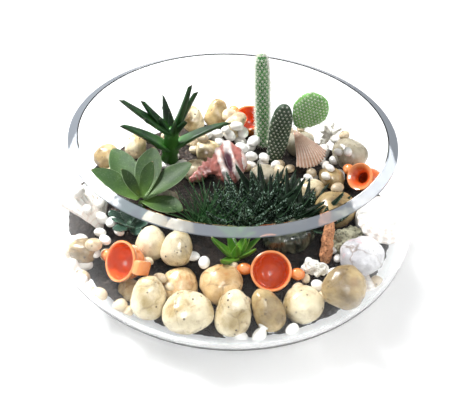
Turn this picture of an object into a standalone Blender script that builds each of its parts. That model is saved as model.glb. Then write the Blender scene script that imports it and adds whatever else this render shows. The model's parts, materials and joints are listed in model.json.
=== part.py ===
"""A round glass bowl planted as a terrarium.

The bowl holds a bed of soil, river stones, small clay pots, shells, coral and seven succulents.
Metres, +Z up. The origin is the middle of the flat foot that the bowl stands on, and -Y is the front.
"""

from math import asin, cos, pi, radians, sin

import bmesh
import bpy
import numpy as np
from mathutils import Matrix, Vector, noise

MM = 0.001
GAP = 0.3 * MM  # left between pieces that rest on each other
GLASS_GAP = 1.2 * MM  # left between the glass, whose faces are flat facets, and what lies against it

# The glass bowl: two half ellipses that meet at its widest level, cut flat at the foot and at the mouth.
BOWL_RADIUS = 140 * MM
BOWL_HEIGHT = 123 * MM  # to the rim's inner edge
WIDEST_Z = 52.5 * MM
UPPER_REACH = 124.6 * MM
LOWER_REACH = 58.6 * MM
WALL = 4.6 * MM
FLOOR_THICK = 7.0 * MM
RIM_DROP = 2.5 * MM  # the flat rim slopes down outwards by this
RIM_ROUNDING = 0.9 * MM
BOWL_STEPS = 36

# The soil: nearly level at the back and sloping down to the front glass.
SOIL_TOP = 41 * MM
SOIL_FRONT_DROP = 13 * MM
SOIL_SLOPE_START = 5 * MM
SOIL_SLOPE_LENGTH = 110 * MM
SOIL_ROUGHNESS = 1.4 * MM

STONE_SIDES = 10
STONE_RINGS = 6
SETTLE_ROUNDS = 400

# Each stone: middle (x, y, z), size (long, wide, high), heading and lean of its long side in degrees, slot.
RIVER_STONES = {
    "front_stone_1": ((-72, -80, 26), (24, 17, 15), 136, 0, "cream_stone"),
    "front_stone_2": ((-54, -96, 33), (32, 23, 22), 95, 58, "cream_stone"),
    "front_stone_3": ((-24, -102, 28), (36, 29, 26), 0, -4, "cream_stone"),
    "front_stone_4": ((7, -102, 36), (33, 24, 23), 78, 58, "cream_stone"),
    "front_stone_5": ((36, -97, 32), (33, 21, 20), 140, 46, "tan_stone"),
    "front_stone_6": ((66, -92, 31), (30, 27, 25), 10, 14, "cream_stone"),
    "front_stone_7": ((88, -72, 37), (31, 27, 24), 60, 36, "tan_stone"),
    "second_stone_1": ((-34, -81, 36), (28, 26, 24), 80, 40, "amber_stone"),
    "second_stone_2": ((-5, -81, 38), (31, 29, 26), 30, 20, "amber_stone"),
    "second_stone_3": ((-57, -54, 47), (27, 22, 21), 80, 42, "cream_stone"),
    "second_stone_4": ((-41, -58, 47), (28, 22, 21), 75, 42, "cream_stone"),
    "left_stone_1": ((-106, -56, 43), (22, 20, 18), 60, 0, "tan_stone"),
    "left_stone_2": ((-108, 55, 50), (24, 19, 18), 60, 30, "tan_stone"),
    "left_stone_3": ((-85, 69, 52), (24, 18, 17), 80, 40, "cream_stone"),
    "left_stone_4": ((-50, 0, 49), (18, 17, 14), 10, 0, "grey_stone"),
    "back_stone_1": ((-33, 112, 55), (25, 18, 16), 95, 66, "cream_stone"),
    "back_stone_2": ((-13, 114, 57), (28, 21, 18), 80, 62, "tan_stone"),
    "back_stone_3": ((-2, 103, 54), (22, 15, 15), 90, 56, "cream_stone"),
    "back_stone_4": ((-20, 66, 52), (24, 20, 16), 10, 5, "cream_stone"),
    "back_stone_5": ((-30, 41, 50), (23, 20, 17), 60, 5, "cream_stone"),
    "right_stone_1": ((92, -4, 49), (34, 31, 26), 20, 8, "tan_stone"),
    "right_stone_2": ((67, 17, 50), (24, 20, 18), 30, 10, "cream_stone"),
    "right_stone_3": ((84, 37, 50), (24, 19, 17), 120, 0, "tan_stone"),
    "right_stone_4": ((103, 66, 56), (36, 27, 24), 120, 0, "grey_stone"),
    "right_stone_5": ((32, 40, 50), (30, 22, 17), 10, 0, "grey_stone"),
    "right_stone_6": ((72, 88, 54), (27, 24, 22), 20, 20, "grey_stone"),
    "white_stone": ((112, -10, 49), (37, 34, 31), 70, 10, "white_stone"),
    "marble_stone": ((95, -63, 47), (35, 28, 20), 40, 12, "white_stone"),
    "glass_rock": ((45, -34, 46), (42, 27, 26), 5, 6, "green_rock"),
}

# Each clay cup: middle of its mouth, the way the mouth faces, and the turn of its two lugs about that way.
CLAY_CUPS = {
    "front_pot": ((25, -72, 53), (-0.05, -0.62, 0.78), 0),
    "left_pot": ((-76, -74, 53), (-0.60, -0.52, 0.60), 20),
    "back_pot": ((15, 114, 58), (-0.05, -0.30, 0.95), -30),
}
CUP_MOUTH = 14.7 * MM
CUP_DEPTH = 19 * MM
CUP_FOOT = 7.5 * MM
CUP_WALL = 2.2 * MM
LUG_LENGTH = 9 * MM
LUG_THICK = 8 * MM
JUG_MOUTH_AT = (105, 24, 62)
JUG_FACES = (-0.60, -0.54, 0.59)
POT_STEPS = 20

# The rosette: middle of its stem, and each leaf's tip seen from there, its width and how much it curls up.
ROSETTE_AT = (-69, -12, 57)
ROSETTE_LEAVES = {
    "rosette_leaf_left": ((-39, 10, 21), 21, 14),
    "rosette_leaf_back_left": ((-28, 44, 18), 22, 14),
    "rosette_leaf_back": ((6, 42, 22), 21, 14),
    "rosette_leaf_right": ((38, 27, 19), 21, 14),
    "rosette_leaf_front": ((34, -12, 2), 20, 10),
    "rosette_leaf_inner_left": ((-15, 7, 25), 11, 12),
    "rosette_leaf_inner_right": ((9, 12, 30), 13, 20),
}

# The cactus pads: foot, tip, width, thickness, the foot's share of the width, where it is widest, and how
# square its top is.
CACTUS_PADS = {
    "cactus_column": ((28, 90, 42), (21, 99, 131), 12, 11.5, 0.85, 0.30, 9.0),
    "cactus_dark_pad": ((37, 65, 42), (42, 68, 101), 20, 11, 0.60, 0.60, 2.6),
    "cactus_round_pad": ((54, 69, 78), (72, 70, 109), 32, 10, 0.18, 0.52, 2.1),
}

# The leaves of the aloe: where each leaves the trunk, its tip, width and upward curl.
ALOE_TRUNK = ((-55, 59, 40), (-51, 57, 80))
ALOE_LEAVES = (
    ((-52, 57, 74), (-92, 54, 108), 12, 6),
    ((-55, 57, 58), (-93, 50, 86), 15, -12),
    ((-52, 57, 75), (-75, 60, 104), 10, 20),
    ((-51, 57, 74), (-36, 57, 122), 11, 8),
    ((-51, 58, 72), (-31, 61, 114), 10, -8),
    ((-51, 56, 75), (-39, 50, 92), 10, 0),
    ((-54, 59, 55), (-2, 67, 82), 13, -26),
    ((-53, 60, 74), (-60, 74, 102), 10, 0),
)


def clear_scene():
    for obj in list(bpy.data.objects):
        bpy.data.objects.remove(obj, do_unlink=True)


def new_collection(name):
    made = bpy.data.collections.new(name)
    bpy.context.scene.collection.children.link(made)
    return made


COLOURS = {
    # slot: (colour, roughness)
    "clear_glass": ((0.85, 0.92, 0.92), 0.03),
    "soil": ((0.02, 0.015, 0.012), 0.95),
    "cream_stone": ((0.80, 0.68, 0.45), 0.40),
    "tan_stone": ((0.58, 0.40, 0.20), 0.40),
    "amber_stone": ((0.70, 0.46, 0.22), 0.40),
    "grey_stone": ((0.45, 0.40, 0.33), 0.45),
    "white_stone": ((0.85, 0.83, 0.78), 0.45),
    "green_rock": ((0.12, 0.16, 0.11), 0.25),
    "terracotta": ((0.75, 0.25, 0.07), 0.30),
    "pink_shell": ((0.75, 0.45, 0.38), 0.40),
    "white_shell": ((0.88, 0.84, 0.76), 0.45),
    "peach_shell": ((0.80, 0.55, 0.36), 0.45),
    "orange_coral": ((0.62, 0.33, 0.18), 0.70),
    "white_coral": ((0.88, 0.84, 0.78), 0.75),
    "grey_coral": ((0.45, 0.45, 0.36), 0.80),
    "rosette_green": ((0.16, 0.30, 0.14), 0.45),
    "aloe_green": ((0.04, 0.16, 0.05), 0.35),
    "dark_leaf": ((0.02, 0.08, 0.04), 0.40),
    "fresh_leaf": ((0.14, 0.35, 0.07), 0.40),
    "toothed_leaf": ((0.07, 0.13, 0.10), 0.45),
    "cactus_green": ((0.15, 0.42, 0.14), 0.60),
    "cactus_dark_green": ((0.05, 0.16, 0.08), 0.60),
}


def material(slot):
    if slot in bpy.data.materials:
        return bpy.data.materials[slot]
    colour, roughness = COLOURS[slot]
    made = bpy.data.materials.new(slot)
    made.use_nodes = True
    shader = made.node_tree.nodes["Principled BSDF"]
    shader.inputs["Base Color"].default_value = (*colour, 1)
    shader.inputs["Roughness"].default_value = roughness
    shader.inputs["Metallic"].default_value = 0.0
    if slot == "clear_glass":
        shader.inputs["Transmission Weight"].default_value = 1.0
    return made


def add_object(name, mesh, slot, matrix, collection):
    obj = bpy.data.objects.new(name, mesh)
    obj.data.materials.clear()
    obj.data.materials.append(material(slot))
    obj.data.shade_smooth()
    obj.matrix_world = matrix
    collection.objects.link(obj)
    return obj


def add_helper(name, mesh, matrix, collection):
    """A cutter, or a shape that is joined into another by a Boolean."""
    obj = bpy.data.objects.new(name, mesh)
    obj.matrix_world = matrix
    obj.hide_render = True
    obj.display_type = "WIRE"
    collection.objects.link(obj)
    return obj


def boolean(obj, operation, collection):
    modifier = obj.modifiers.new(operation.lower(), "BOOLEAN")
    modifier.operation = operation
    modifier.operand_type = "COLLECTION"
    modifier.collection = collection


def millimetres(point):
    return Vector(point) * MM


def heading(degrees_round, degrees_up):
    """Rotation that points local +X along a compass heading and up by an angle."""
    return Matrix.Rotation(radians(degrees_round), 4, "Z") @ Matrix.Rotation(-radians(degrees_up), 4, "Y")


def facing(axis, turn=0.0):
    """Rotation that points local +Z along an axis, after a turn about it."""
    straight = Vector(axis).normalized().to_track_quat("Z", "Y").to_matrix().to_4x4()
    return straight @ Matrix.Rotation(radians(turn), 4, "Z")


def pointing(axis, top=(0, 0, 1)):
    """Rotation that points local +X along an axis and keeps local +Z as near to top as it can."""
    along = Vector(axis).normalized()
    across = Vector(top).cross(along)
    if across.length < 0.05:
        across = Vector((0, 1, 0))
    across.normalize()
    return Matrix((along, across, along.cross(across))).transposed().to_4x4()


def loft_mesh(name, rings, start=None, end=None):
    """Skin over rings of points. Each end is a flat cap, or a fan to one point."""
    bm = bmesh.new()
    rows = [[bm.verts.new(point) for point in ring] for ring in rings]
    count = len(rows[0])
    for near, far in zip(rows, rows[1:]):
        for i in range(count):
            j = (i + 1) % count
            bm.faces.new((near[i], near[j], far[j], far[i]))
    for row, point in ((rows[0], start), (rows[-1], end)):
        if point is None:
            bm.faces.new(row)
        else:
            tip = bm.verts.new(point)
            for i in range(count):
                bm.faces.new((row[i], row[(i + 1) % count], tip))
    bmesh.ops.recalc_face_normals(bm, faces=bm.faces)
    mesh = bpy.data.meshes.new(name)
    bm.to_mesh(mesh)
    bm.free()
    return mesh


def turned_object(name, profile, steps, slot, matrix, collection):
    """A profile of (radius, height) points, top to bottom down its outer side, turned about local Z."""
    mesh = bpy.data.meshes.new(name)
    points = [(radius, 0, height) for radius, height in profile]
    mesh.from_pydata(points, [(i, i + 1) for i in range(len(points) - 1)], [])
    obj = add_object(name, mesh, slot, matrix, collection)
    screw = obj.modifiers.new("turn", "SCREW")
    screw.steps = screw.render_steps = steps
    screw.use_merge_vertices = True
    screw.merge_threshold = 0.00001
    screw.use_smooth_shade = True
    return obj


def leaf_mesh(name, length, width, thick, curl=0.0, foot=0.4, swell=1.0, widest=0.6, taper=2.0, blunt=0.5,
              channel=0.12, sides=8, stations=6, crowd=1.4):
    """Leaf from its foot to a tip on local +X, upper face +Z, bent upwards by curl degrees in all.

    foot is the foot's share of the width, a larger swell keeps it narrow for longer, widest says how far
    along it is widest, and crowd sets its stations closer together towards the tip."""
    bend = radians(curl) or 1e-6
    run = length * (bend / 2) / sin(bend / 2)
    rings = []
    for station in range(stations):
        t = 0.96 * (1 - (1 - station / (stations - 1)) ** crowd)
        if t < widest:
            share = foot + (1 - foot) * sin(pi / 2 * t / widest) ** swell
        else:
            share = (1 - ((t - widest) / (1 - widest)) ** taper) ** blunt
        angle = bend * (t - 0.5)
        middle = Vector((sin(angle) + sin(bend / 2), 0, cos(bend / 2) - cos(angle))) * run / bend
        lift = Vector((-sin(angle), 0, cos(angle)))
        ring = []
        for k in range(sides):
            across = cos(2 * pi * k / sides)
            up = sin(2 * pi * k / sides)
            height = thick / 2 * up * (0.35 + 0.65 * share) + channel * width * share * across ** 2
            ring.append(middle + lift * height + Vector((0, width / 2 * share * across, 0)))
        rings.append(ring)
    return loft_mesh(name, rings, end=Vector((length, 0, 0)))


def place_leaf(name, start, tip, width, thick, **shape):
    """A leaf mesh and the matrix that puts its foot at start and its tip where it belongs."""
    along = tip - start
    mesh = leaf_mesh(name, along.length, width, thick, **shape)
    return mesh, Matrix.Translation(start) @ pointing(along)


def stone_mesh(name, size, seed, egg=0.15, lumps=0.10, square=2.4):
    """A worn stone: a rounded block, a little egg shaped along its long side, with gentle lumps."""
    bm = bmesh.new()
    bmesh.ops.create_uvsphere(bm, u_segments=STONE_SIDES, v_segments=STONE_RINGS, radius=1)
    drift = Vector((7.3, 3.1, -5.7)) * seed
    for vert in bm.verts:
        way = Vector((vert.co.x, vert.co.z, -vert.co.y)).normalized()
        reach = sum(abs(part) ** square for part in way) ** (-1 / square)
        way *= reach * (1 + lumps * noise.noise(way * 1.2 + drift))
        narrow = 1 - egg * way.x
        vert.co = Vector((way.x * size[0], way.y * size[1] * narrow, way.z * size[2] * narrow)) / 2
    bmesh.ops.recalc_face_normals(bm, faces=bm.faces)
    mesh = bpy.data.meshes.new(name)
    bm.to_mesh(mesh)
    bm.free()
    return mesh


def arc_points(first, last, count, inset):
    """Points of the bowl's outline between two angles, on the surface inset below its outer face."""
    points = []
    for i in range(count + 1):
        angle = first + (last - first) * i / count
        reach = (UPPER_REACH if angle > 0 else LOWER_REACH) - inset
        points.append(((BOWL_RADIUS - inset) * cos(angle), WIDEST_Z + reach * sin(angle)))
    return points


def bowl_profile():
    """From the middle of the inner floor up the inside, over the sloping rim and down to the foot."""
    foot_angle = -asin(WIDEST_Z / LOWER_REACH)
    floor_angle = -asin((WIDEST_Z - FLOOR_THICK) / (LOWER_REACH - WALL))
    inner_top = asin((BOWL_HEIGHT - RIM_ROUNDING - WIDEST_Z) / (UPPER_REACH - WALL))
    outer_top = asin((BOWL_HEIGHT - RIM_DROP - RIM_ROUNDING - WIDEST_Z) / UPPER_REACH)
    inner = arc_points(floor_angle, 0, 6, WALL) + arc_points(0, inner_top, 4, WALL)[1:]
    outer = arc_points(outer_top, 0, 4, 0) + arc_points(0, foot_angle, 6, 0)[1:]
    inner_edge, outer_edge = inner[-1], outer[0]
    rim = [
        (inner_edge[0] + 0.3 * RIM_ROUNDING, BOWL_HEIGHT - 0.2 * RIM_ROUNDING),
        (inner_edge[0] + RIM_ROUNDING, BOWL_HEIGHT),
        (outer_edge[0] - RIM_ROUNDING, BOWL_HEIGHT - RIM_DROP),
        (outer_edge[0] - 0.2 * RIM_ROUNDING, BOWL_HEIGHT - RIM_DROP - 0.4 * RIM_ROUNDING),
    ]
    return [(0, FLOOR_THICK)] + inner + rim + outer + [(0, 0)]


def cup_profile(mouth, depth, foot, wall):
    """A little open cup with its mouth at height 0, from the middle of its inner floor round to its foot."""
    inner = [(0, -depth + wall), (foot * 0.8, -depth + wall * 1.1), (mouth * 0.78, -depth * 0.62)]
    inner += [(mouth * 0.86 - wall * 0.2, -depth * 0.25), (mouth - wall, -wall * 0.4)]
    rim = [(mouth - wall * 0.7, 0), (mouth - wall * 0.2, 0), (mouth, -wall * 0.4)]
    outer = [(mouth * 0.97, -depth * 0.3), (mouth * 0.86, -depth * 0.68), (foot, -depth * 0.97)]
    return inner + rim + outer + [(foot * 0.9, -depth), (0, -depth)]


def jug_profile():
    """A flared mouth on a narrow neck and a round body, hollow all the way down."""
    inner = [(0, -29), (6, -28.5), (8.4, -22), (7.6, -15), (4.3, -9), (4.6, -5), (9.6, -0.8)]
    outer = [(10.4, 0), (11.2, -0.8), (6.8, -5.5), (6.4, -9.5), (9.8, -15), (10.6, -22), (7.6, -30), (7, -31)]
    return [(radius * MM, height * MM) for radius, height in inner + outer + [(0, -31)]]


def add_lugs(pot, reach, drop, count):
    """Ear-shaped lugs just below the mouth, joined to the pot's wall."""
    lugs = new_collection(pot.name + "_lugs")
    for side in (-1, 1)[:count]:
        bm = bmesh.new()
        shape = Matrix.Diagonal((LUG_LENGTH / 2, LUG_THICK / 2, LUG_THICK * 0.44, 1))
        bmesh.ops.create_uvsphere(bm, u_segments=8, v_segments=5, radius=1, matrix=shape)
        mesh = bpy.data.meshes.new(pot.name + "_lug")
        bm.to_mesh(mesh)
        bm.free()
        lug = add_helper(pot.name + "_lug", mesh, Matrix(), lugs)
        lug.parent = pot
        lug.matrix_local = Matrix.Translation((side * (reach + LUG_LENGTH * 0.36), 0, -drop))
    boolean(pot, "UNION", lugs)


def fan_mesh(name, length, spread, dome, ribs, rib_height, columns, rows):
    """An open sheet shaped like a scallop's shell: its hinge at the origin, opening along local +X."""
    bm = bmesh.new()
    grid = []
    for row in range(rows + 1):
        v = 0.14 + 0.86 * row / rows
        line = []
        for column in range(columns + 1):
            u = 2 * column / columns - 1
            angle = radians(spread) / 2 * u
            reach = length * v * (1 - 0.10 * u * u)
            arch = dome * sin(pi * min(1, v * 0.86)) * (1 - 0.75 * u * u)
            rib = rib_height * v * cos(pi * ribs * u)
            line.append(bm.verts.new((reach * cos(angle), reach * sin(angle) * 1.05, arch + rib)))
        grid.append(line)
    for near, far in zip(grid, grid[1:]):
        for i in range(columns):
            bm.faces.new((near[i], far[i], far[i + 1], near[i + 1]))
    mesh = bpy.data.meshes.new(name)
    bm.to_mesh(mesh)
    bm.free()
    return mesh


def add_fan(name, hinge, edge, top, slot, collection, spread=95, dome=6, ribs=5, rib_height=0.7, columns=16,
            rows=4, thick=1.8):
    """A fan shell from its hinge to the middle of its edge, with its outside facing top."""
    start = millimetres(hinge)
    along = millimetres(edge) - start
    mesh = fan_mesh(name, along.length, spread, dome * MM, ribs, rib_height * MM, columns, rows)
    obj = add_object(name, mesh, slot, Matrix.Translation(start) @ pointing(along, top), collection)
    shell = obj.modifiers.new("thickness", "SOLIDIFY")
    shell.thickness = thick * MM
    shell.offset = -1
    return obj


def tube_mesh(name, start, end, radius, tip_radius, seed=0.0, lumps=0.0, sides=8, rings=6):
    """A stick with softly rounded ends, lumpy where asked."""
    along = end - start
    across = along.orthogonal().normalized()
    other = along.normalized().cross(across)
    rows = []
    for i in range(rings):
        t = i / (rings - 1)
        width = (radius * (1 - t) + tip_radius * t) * (0.62 if i in (0, rings - 1) else 1)
        row = []
        for k in range(sides):
            angle = 2 * pi * k / sides
            way = across * cos(angle) + other * sin(angle)
            bump = 1 + lumps * noise.noise(way * 1.5 + Vector((seed, 4 * t, 0)))
            row.append(start + along * t + way * width * bump)
        rows.append(row)
    return loft_mesh(name, rows)


def ball_mesh(name, size, sides=10, rings=6):
    bm = bmesh.new()
    shape = Matrix.Diagonal((size[0] / 2, size[1] / 2, size[2] / 2, 1))
    bmesh.ops.create_uvsphere(bm, u_segments=sides, v_segments=rings, radius=1, matrix=shape)
    mesh = bpy.data.meshes.new(name)
    bm.to_mesh(mesh)
    bm.free()
    return mesh


def grown_plant(name, core_mesh, core_matrix, leaves, slot, collection):
    """A plant grown as one piece: a core with its leaves joined to it. Gives the shapes it is made of."""
    obj = add_object(name, core_mesh, slot, core_matrix, collection)
    limbs = new_collection(name + "_leaves")
    helpers = [add_helper(name + "_leaf", mesh, matrix, limbs) for mesh, matrix in leaves]
    boolean(obj, "UNION", limbs)
    return [obj] + helpers


def ring_of_leaves(name, middle, rows, **shape):
    """Leaves in whorls. Each row: (count, first heading, rise, length, width, thick, curl)."""
    leaves = []
    for count, first, rise, length, width, thick, curl in rows:
        for i in range(count):
            turn = first + 360 * i / count + 9 * sin(5.1 * i + first)
            lift = rise + 6 * sin(3.7 * i + rise)
            way = Vector((cos(radians(turn)) * cos(radians(lift)), sin(radians(turn)) * cos(radians(lift)),
                          sin(radians(lift))))
            size = length * (1 + 0.08 * sin(2.3 * i + rise)) * MM
            foot = middle + way * 2 * MM
            tip = foot + way * size
            leaves.append(place_leaf(name, foot, tip, width * MM, thick * MM, curl=curl, **shape))
    return leaves


def build_bowl(parts):
    return turned_object("glass_bowl", bowl_profile(), BOWL_STEPS, "clear_glass", Matrix(), parts)


def build_pots(parts):
    """Three cups with two lugs each, and a jug with one."""
    pots = []
    profile = cup_profile(CUP_MOUTH, CUP_DEPTH, CUP_FOOT, CUP_WALL)
    for name, (mouth, faces, turn) in CLAY_CUPS.items():
        matrix = Matrix.Translation(millimetres(mouth)) @ facing(faces, turn)
        pot = turned_object(name, profile, POT_STEPS, "terracotta", matrix, parts)
        add_lugs(pot, CUP_MOUTH, 5 * MM, 2)
        pots.append(pot)
    matrix = Matrix.Translation(millimetres(JUG_MOUTH_AT)) @ facing(JUG_FACES)
    jug = turned_object("jug", jug_profile(), POT_STEPS, "terracotta", matrix, parts)
    add_lugs(jug, 10.5 * MM, 3 * MM, 1)
    return pots + [jug]


def build_shells(parts):
    """The scallop and the other fan shells, and the spiny conch in the middle."""
    scallop = add_fan("scallop_shell", (54, 77, 73), (61, 51, 52), (0.15, -0.68, 0.70), "peach_shell", parts,
                      spread=84)
    fan = add_fan("fan_shell", (-98, -34, 40), (-122, -3, 62), (0.75, -0.35, 0.5), "white_shell", parts,
                  spread=85, rib_height=0.8)
    flat = add_fan("flat_shell", (104, -54, 34), (86, -78, 30), (-0.5, 0.1, 0.85), "white_shell", parts,
                   spread=90, dome=4, ribs=3, rib_height=0.2, columns=8, rows=3, thick=1.6)
    curled = add_fan("curled_shell", (118, -28, 62), (104, -44, 50), (-0.3, -0.6, 0.7), "white_shell", parts,
                     spread=110, dome=8, ribs=3, rib_height=1.0, columns=10, rows=4, thick=1.8)
    return [scallop, fan, flat, curled]


def build_conch(parts):
    """A thick whorled body that narrows to a spout, with a row of frilled spines along its shoulder."""
    spire = millimetres((-6, 50, 70))
    spout = millimetres((-1, 22, 55))
    along = spout - spire
    frame = Matrix.Translation(spire) @ pointing(along, (-0.2, -0.5, 0.85))
    widths = (2.5, 8.0, 13.0, 15.0, 13.5, 10.5, 7.0, 3.5)
    rings = []
    for i, width in enumerate(widths):
        t = i / (len(widths) - 1)
        ring = []
        for k in range(10):
            angle = 2 * pi * k / 10
            ring.append(Vector((along.length * t, width * MM * cos(angle), width * 0.72 * MM * sin(angle))))
        rings.append(ring)
    body = loft_mesh("conch", rings)
    spines = []
    for i in range(6):
        t = 0.12 + 0.15 * i
        root = Vector((along.length * t, -9 * MM * (1 - 0.5 * t), 3 * MM))
        tip = root + Vector((-3, -15 + 5 * t, 5 - 3 * t)) * MM
        mesh, matrix = place_leaf("conch_spine", root, tip, 7 * MM, 5 * MM, foot=1.0, widest=0.05, taper=1.2,
                                  blunt=0.9, channel=0.1, sides=6, stations=3)
        spines.append((mesh, frame @ matrix))
    return grown_plant("conch_shell", body, frame, spines, "pink_shell", parts)


def build_corals(parts):
    stick = tube_mesh("coral_stick", millimetres((72, -52, 38)), millimetres((73, -40, 68)), 5 * MM, 4.2 * MM,
                      seed=4, lumps=0.35)
    pieces = [add_object("coral_stick", stick, "orange_coral", Matrix(), parts)]
    rough = stone_mesh("rough_coral", millimetres((27, 18, 15)), 51, egg=0.3, lumps=0.5, square=2.0)
    matrix = Matrix.Translation(millimetres((88, -37, 49))) @ heading(30, 20)
    pieces.append(add_object("rough_coral", rough, "grey_coral", matrix, parts))
    chip = stone_mesh("coral_chip", millimetres((20, 13, 10)), 57, egg=0.2, lumps=0.6, square=2.0)
    matrix = Matrix.Translation(millimetres((62, -66, 46))) @ heading(-40, 10)
    pieces.append(add_object("coral_chip", chip, "white_coral", matrix, parts))

    root = millimetres((80, 89, 50))
    crown = millimetres((88, 84, 66))
    trunk = tube_mesh("branch_coral", root, crown, 4.2 * MM, 3 * MM, seed=9, lumps=0.3)
    limbs = []
    for i, tip in enumerate(((94, 80, 72), (80, 82, 73), (89, 94, 70))):
        start = root.lerp(crown, 0.35 + 0.2 * i)
        mesh = tube_mesh("branch_coral_limb", start, millimetres(tip), 2.8 * MM, 2 * MM, i, 0.3, 6, 4)
        limbs.append((mesh, Matrix()))
    return pieces + grown_plant("branch_coral", trunk, Matrix(), limbs, "white_coral", parts)


def build_rosette(parts):
    """The grey-green rosette: a short stem and broad, pointed leaves that stand just off it."""
    middle = millimetres(ROSETTE_AT)
    stem = tube_mesh("rosette_stem", middle - millimetres((0, 0, 20)), middle, 3.2 * MM, 3.2 * MM)
    pieces = [add_object("rosette_stem", stem, "rosette_green", Matrix(), parts)]
    for name, (offset, width, curl) in ROSETTE_LEAVES.items():
        reach = millimetres(offset)
        inner = "inner" in name
        lift, clear = (2.4, 3.0) if inner else (0.6, 6.5)
        foot = middle + millimetres((0, 0, lift)) + reach.normalized() * clear * MM
        mesh, matrix = place_leaf(name, foot, middle + reach, width * MM, 4.5 * MM, curl=curl, foot=0.2,
                                  swell=1.6, widest=0.68, taper=1.9, blunt=0.75, channel=0.14, stations=7)
        pieces.append(add_object(name, mesh, "rosette_green", matrix, parts))
    return pieces


def build_aloe(parts):
    """A short dark trunk with long leaves, some rising and some lying over the stones."""
    foot, top = (millimetres(end) for end in ALOE_TRUNK)
    trunk = tube_mesh("aloe", foot, top, 6.5 * MM, 5.5 * MM, seed=2, lumps=0.15)
    leaves = []
    for start, tip, width, curl in ALOE_LEAVES:
        leaf = place_leaf("aloe_leaf", millimetres(start), millimetres(tip), width * MM, 4 * MM, curl=curl,
                          foot=0.9, widest=0.2, taper=1.3, blunt=0.85, channel=0.10, sides=6, stations=6)
        leaves.append(leaf)
    return grown_plant("aloe", trunk, Matrix(), leaves, "aloe_green", parts)


def build_tufts(parts):
    """Four low succulents, each a core with whorls of leaves."""
    pieces = []
    middle = millimetres((-15, -6, 43))
    rows = ((7, 10, 38, 30, 3.6, 2.6, 20), (6, 40, 60, 30, 3.4, 2.6, 10), (3, 0, 80, 26, 3.2, 2.4, 0))
    leaves = ring_of_leaves("fine_tuft", middle, rows, foot=1.0, widest=0.1, taper=1.1, blunt=0.9, sides=4,
                            stations=4)
    core = ball_mesh("fine_tuft", millimetres((13, 13, 11)))
    pieces += grown_plant("fine_tuft", core, Matrix.Translation(middle), leaves, "dark_leaf", parts)

    middle = millimetres((31, 3, 43))
    rows = ((8, 0, 30, 37, 9, 5, 30), (6, 25, 52, 33, 8.5, 5, 34), (3, 10, 74, 28, 8, 4.5, 20))
    leaves = ring_of_leaves("banded_tuft", middle, rows, foot=1.0, widest=0.12, taper=1.3, blunt=0.8, sides=4,
                            stations=4)
    core = ball_mesh("banded_tuft", millimetres((20, 20, 15)))
    pieces += grown_plant("banded_tuft", core, Matrix.Translation(middle), leaves, "dark_leaf", parts)

    middle = millimetres((5, -50, 41))
    rows = ((6, 10, 34, 21, 5, 3.2, 20), (5, 40, 62, 20, 4.5, 3, 10))
    leaves = ring_of_leaves("fresh_tuft", middle, rows, foot=1.0, widest=0.2, taper=1.3, blunt=0.9, sides=4,
                            stations=3)
    core = ball_mesh("fresh_tuft", millimetres((10, 10, 9)))
    pieces += grown_plant("fresh_tuft", core, Matrix.Translation(middle), leaves, "fresh_leaf", parts)

    middle = millimetres((-76, -29, 46))
    rows = ((5, 20, 25, 17, 9, 3.5, 20), (4, 60, 55, 16, 8, 3.5, 10))
    leaves = ring_of_leaves("toothed_tuft", middle, rows, foot=0.7, widest=0.5, taper=2, blunt=0.6, sides=4,
                            stations=3)
    core = ball_mesh("toothed_tuft", millimetres((9, 9, 10)))
    pieces += grown_plant("toothed_tuft", core, Matrix.Translation(middle), leaves, "toothed_leaf", parts)
    return pieces


def build_cacti(parts):
    """The flat-padded cactus: a tall column, a dark pad and a round pad that grows from its side."""
    slots = {"cactus_dark_pad": "cactus_dark_green"}
    facing_front = (0.0, -1.0, 0.25)
    pieces = []
    for name, (foot, tip, width, thick, foot_share, widest, square) in CACTUS_PADS.items():
        start = millimetres(foot)
        along = millimetres(tip) - start
        mesh = leaf_mesh(name, along.length, width * MM, thick * MM, foot=foot_share, widest=widest,
                         taper=square, blunt=0.5, channel=0, sides=10, stations=9, crowd=1.8)
        matrix = Matrix.Translation(start) @ pointing(along, facing_front)
        pieces.append(add_object(name, mesh, slots.get(name, "cactus_green"), matrix, parts))
    return pieces


def build_stones(parts):
    stones = []
    for seed, (name, (middle, size, turn, lean, slot)) in enumerate(RIVER_STONES.items()):
        egg = 0.34 if name.startswith("back_stone") else 0.14
        mesh = stone_mesh(name, millimetres(size), seed, egg=egg)
        matrix = Matrix.Translation(millimetres(middle)) @ heading(turn, lean)
        stones.append(add_object(name, mesh, slot, matrix, parts))
    return stones


def hull_points(obj, graph):
    """Corners in world space: after the modifiers, except on a plant, whose leaves are listed apart."""
    grown = "union" in obj.modifiers and "turn" not in obj.modifiers
    mesh = obj.data if grown else obj.evaluated_get(graph).data
    return np.array([obj.matrix_world @ vert.co for vert in mesh.vertices])


def push_apart(mine, other):
    """Direction and depth by which mine has to move to stand GAP clear of other, tried along a few axes."""
    middle = mine.mean(axis=0)
    nearest = other[np.argmin(np.linalg.norm(other - middle, axis=1))]
    best_depth, best_axis = -1.0, None
    for axis in (middle - other.mean(axis=0), middle - nearest, np.array((0.0, 0.0, 1.0))):
        size = np.linalg.norm(axis)
        if size < 1e-9:
            continue
        axis = axis / size
        clear = (mine @ axis).min() - (other @ axis).max()
        if best_axis is None or clear > best_depth:
            best_depth, best_axis = clear, axis
    return best_axis, GAP - best_depth


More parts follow.
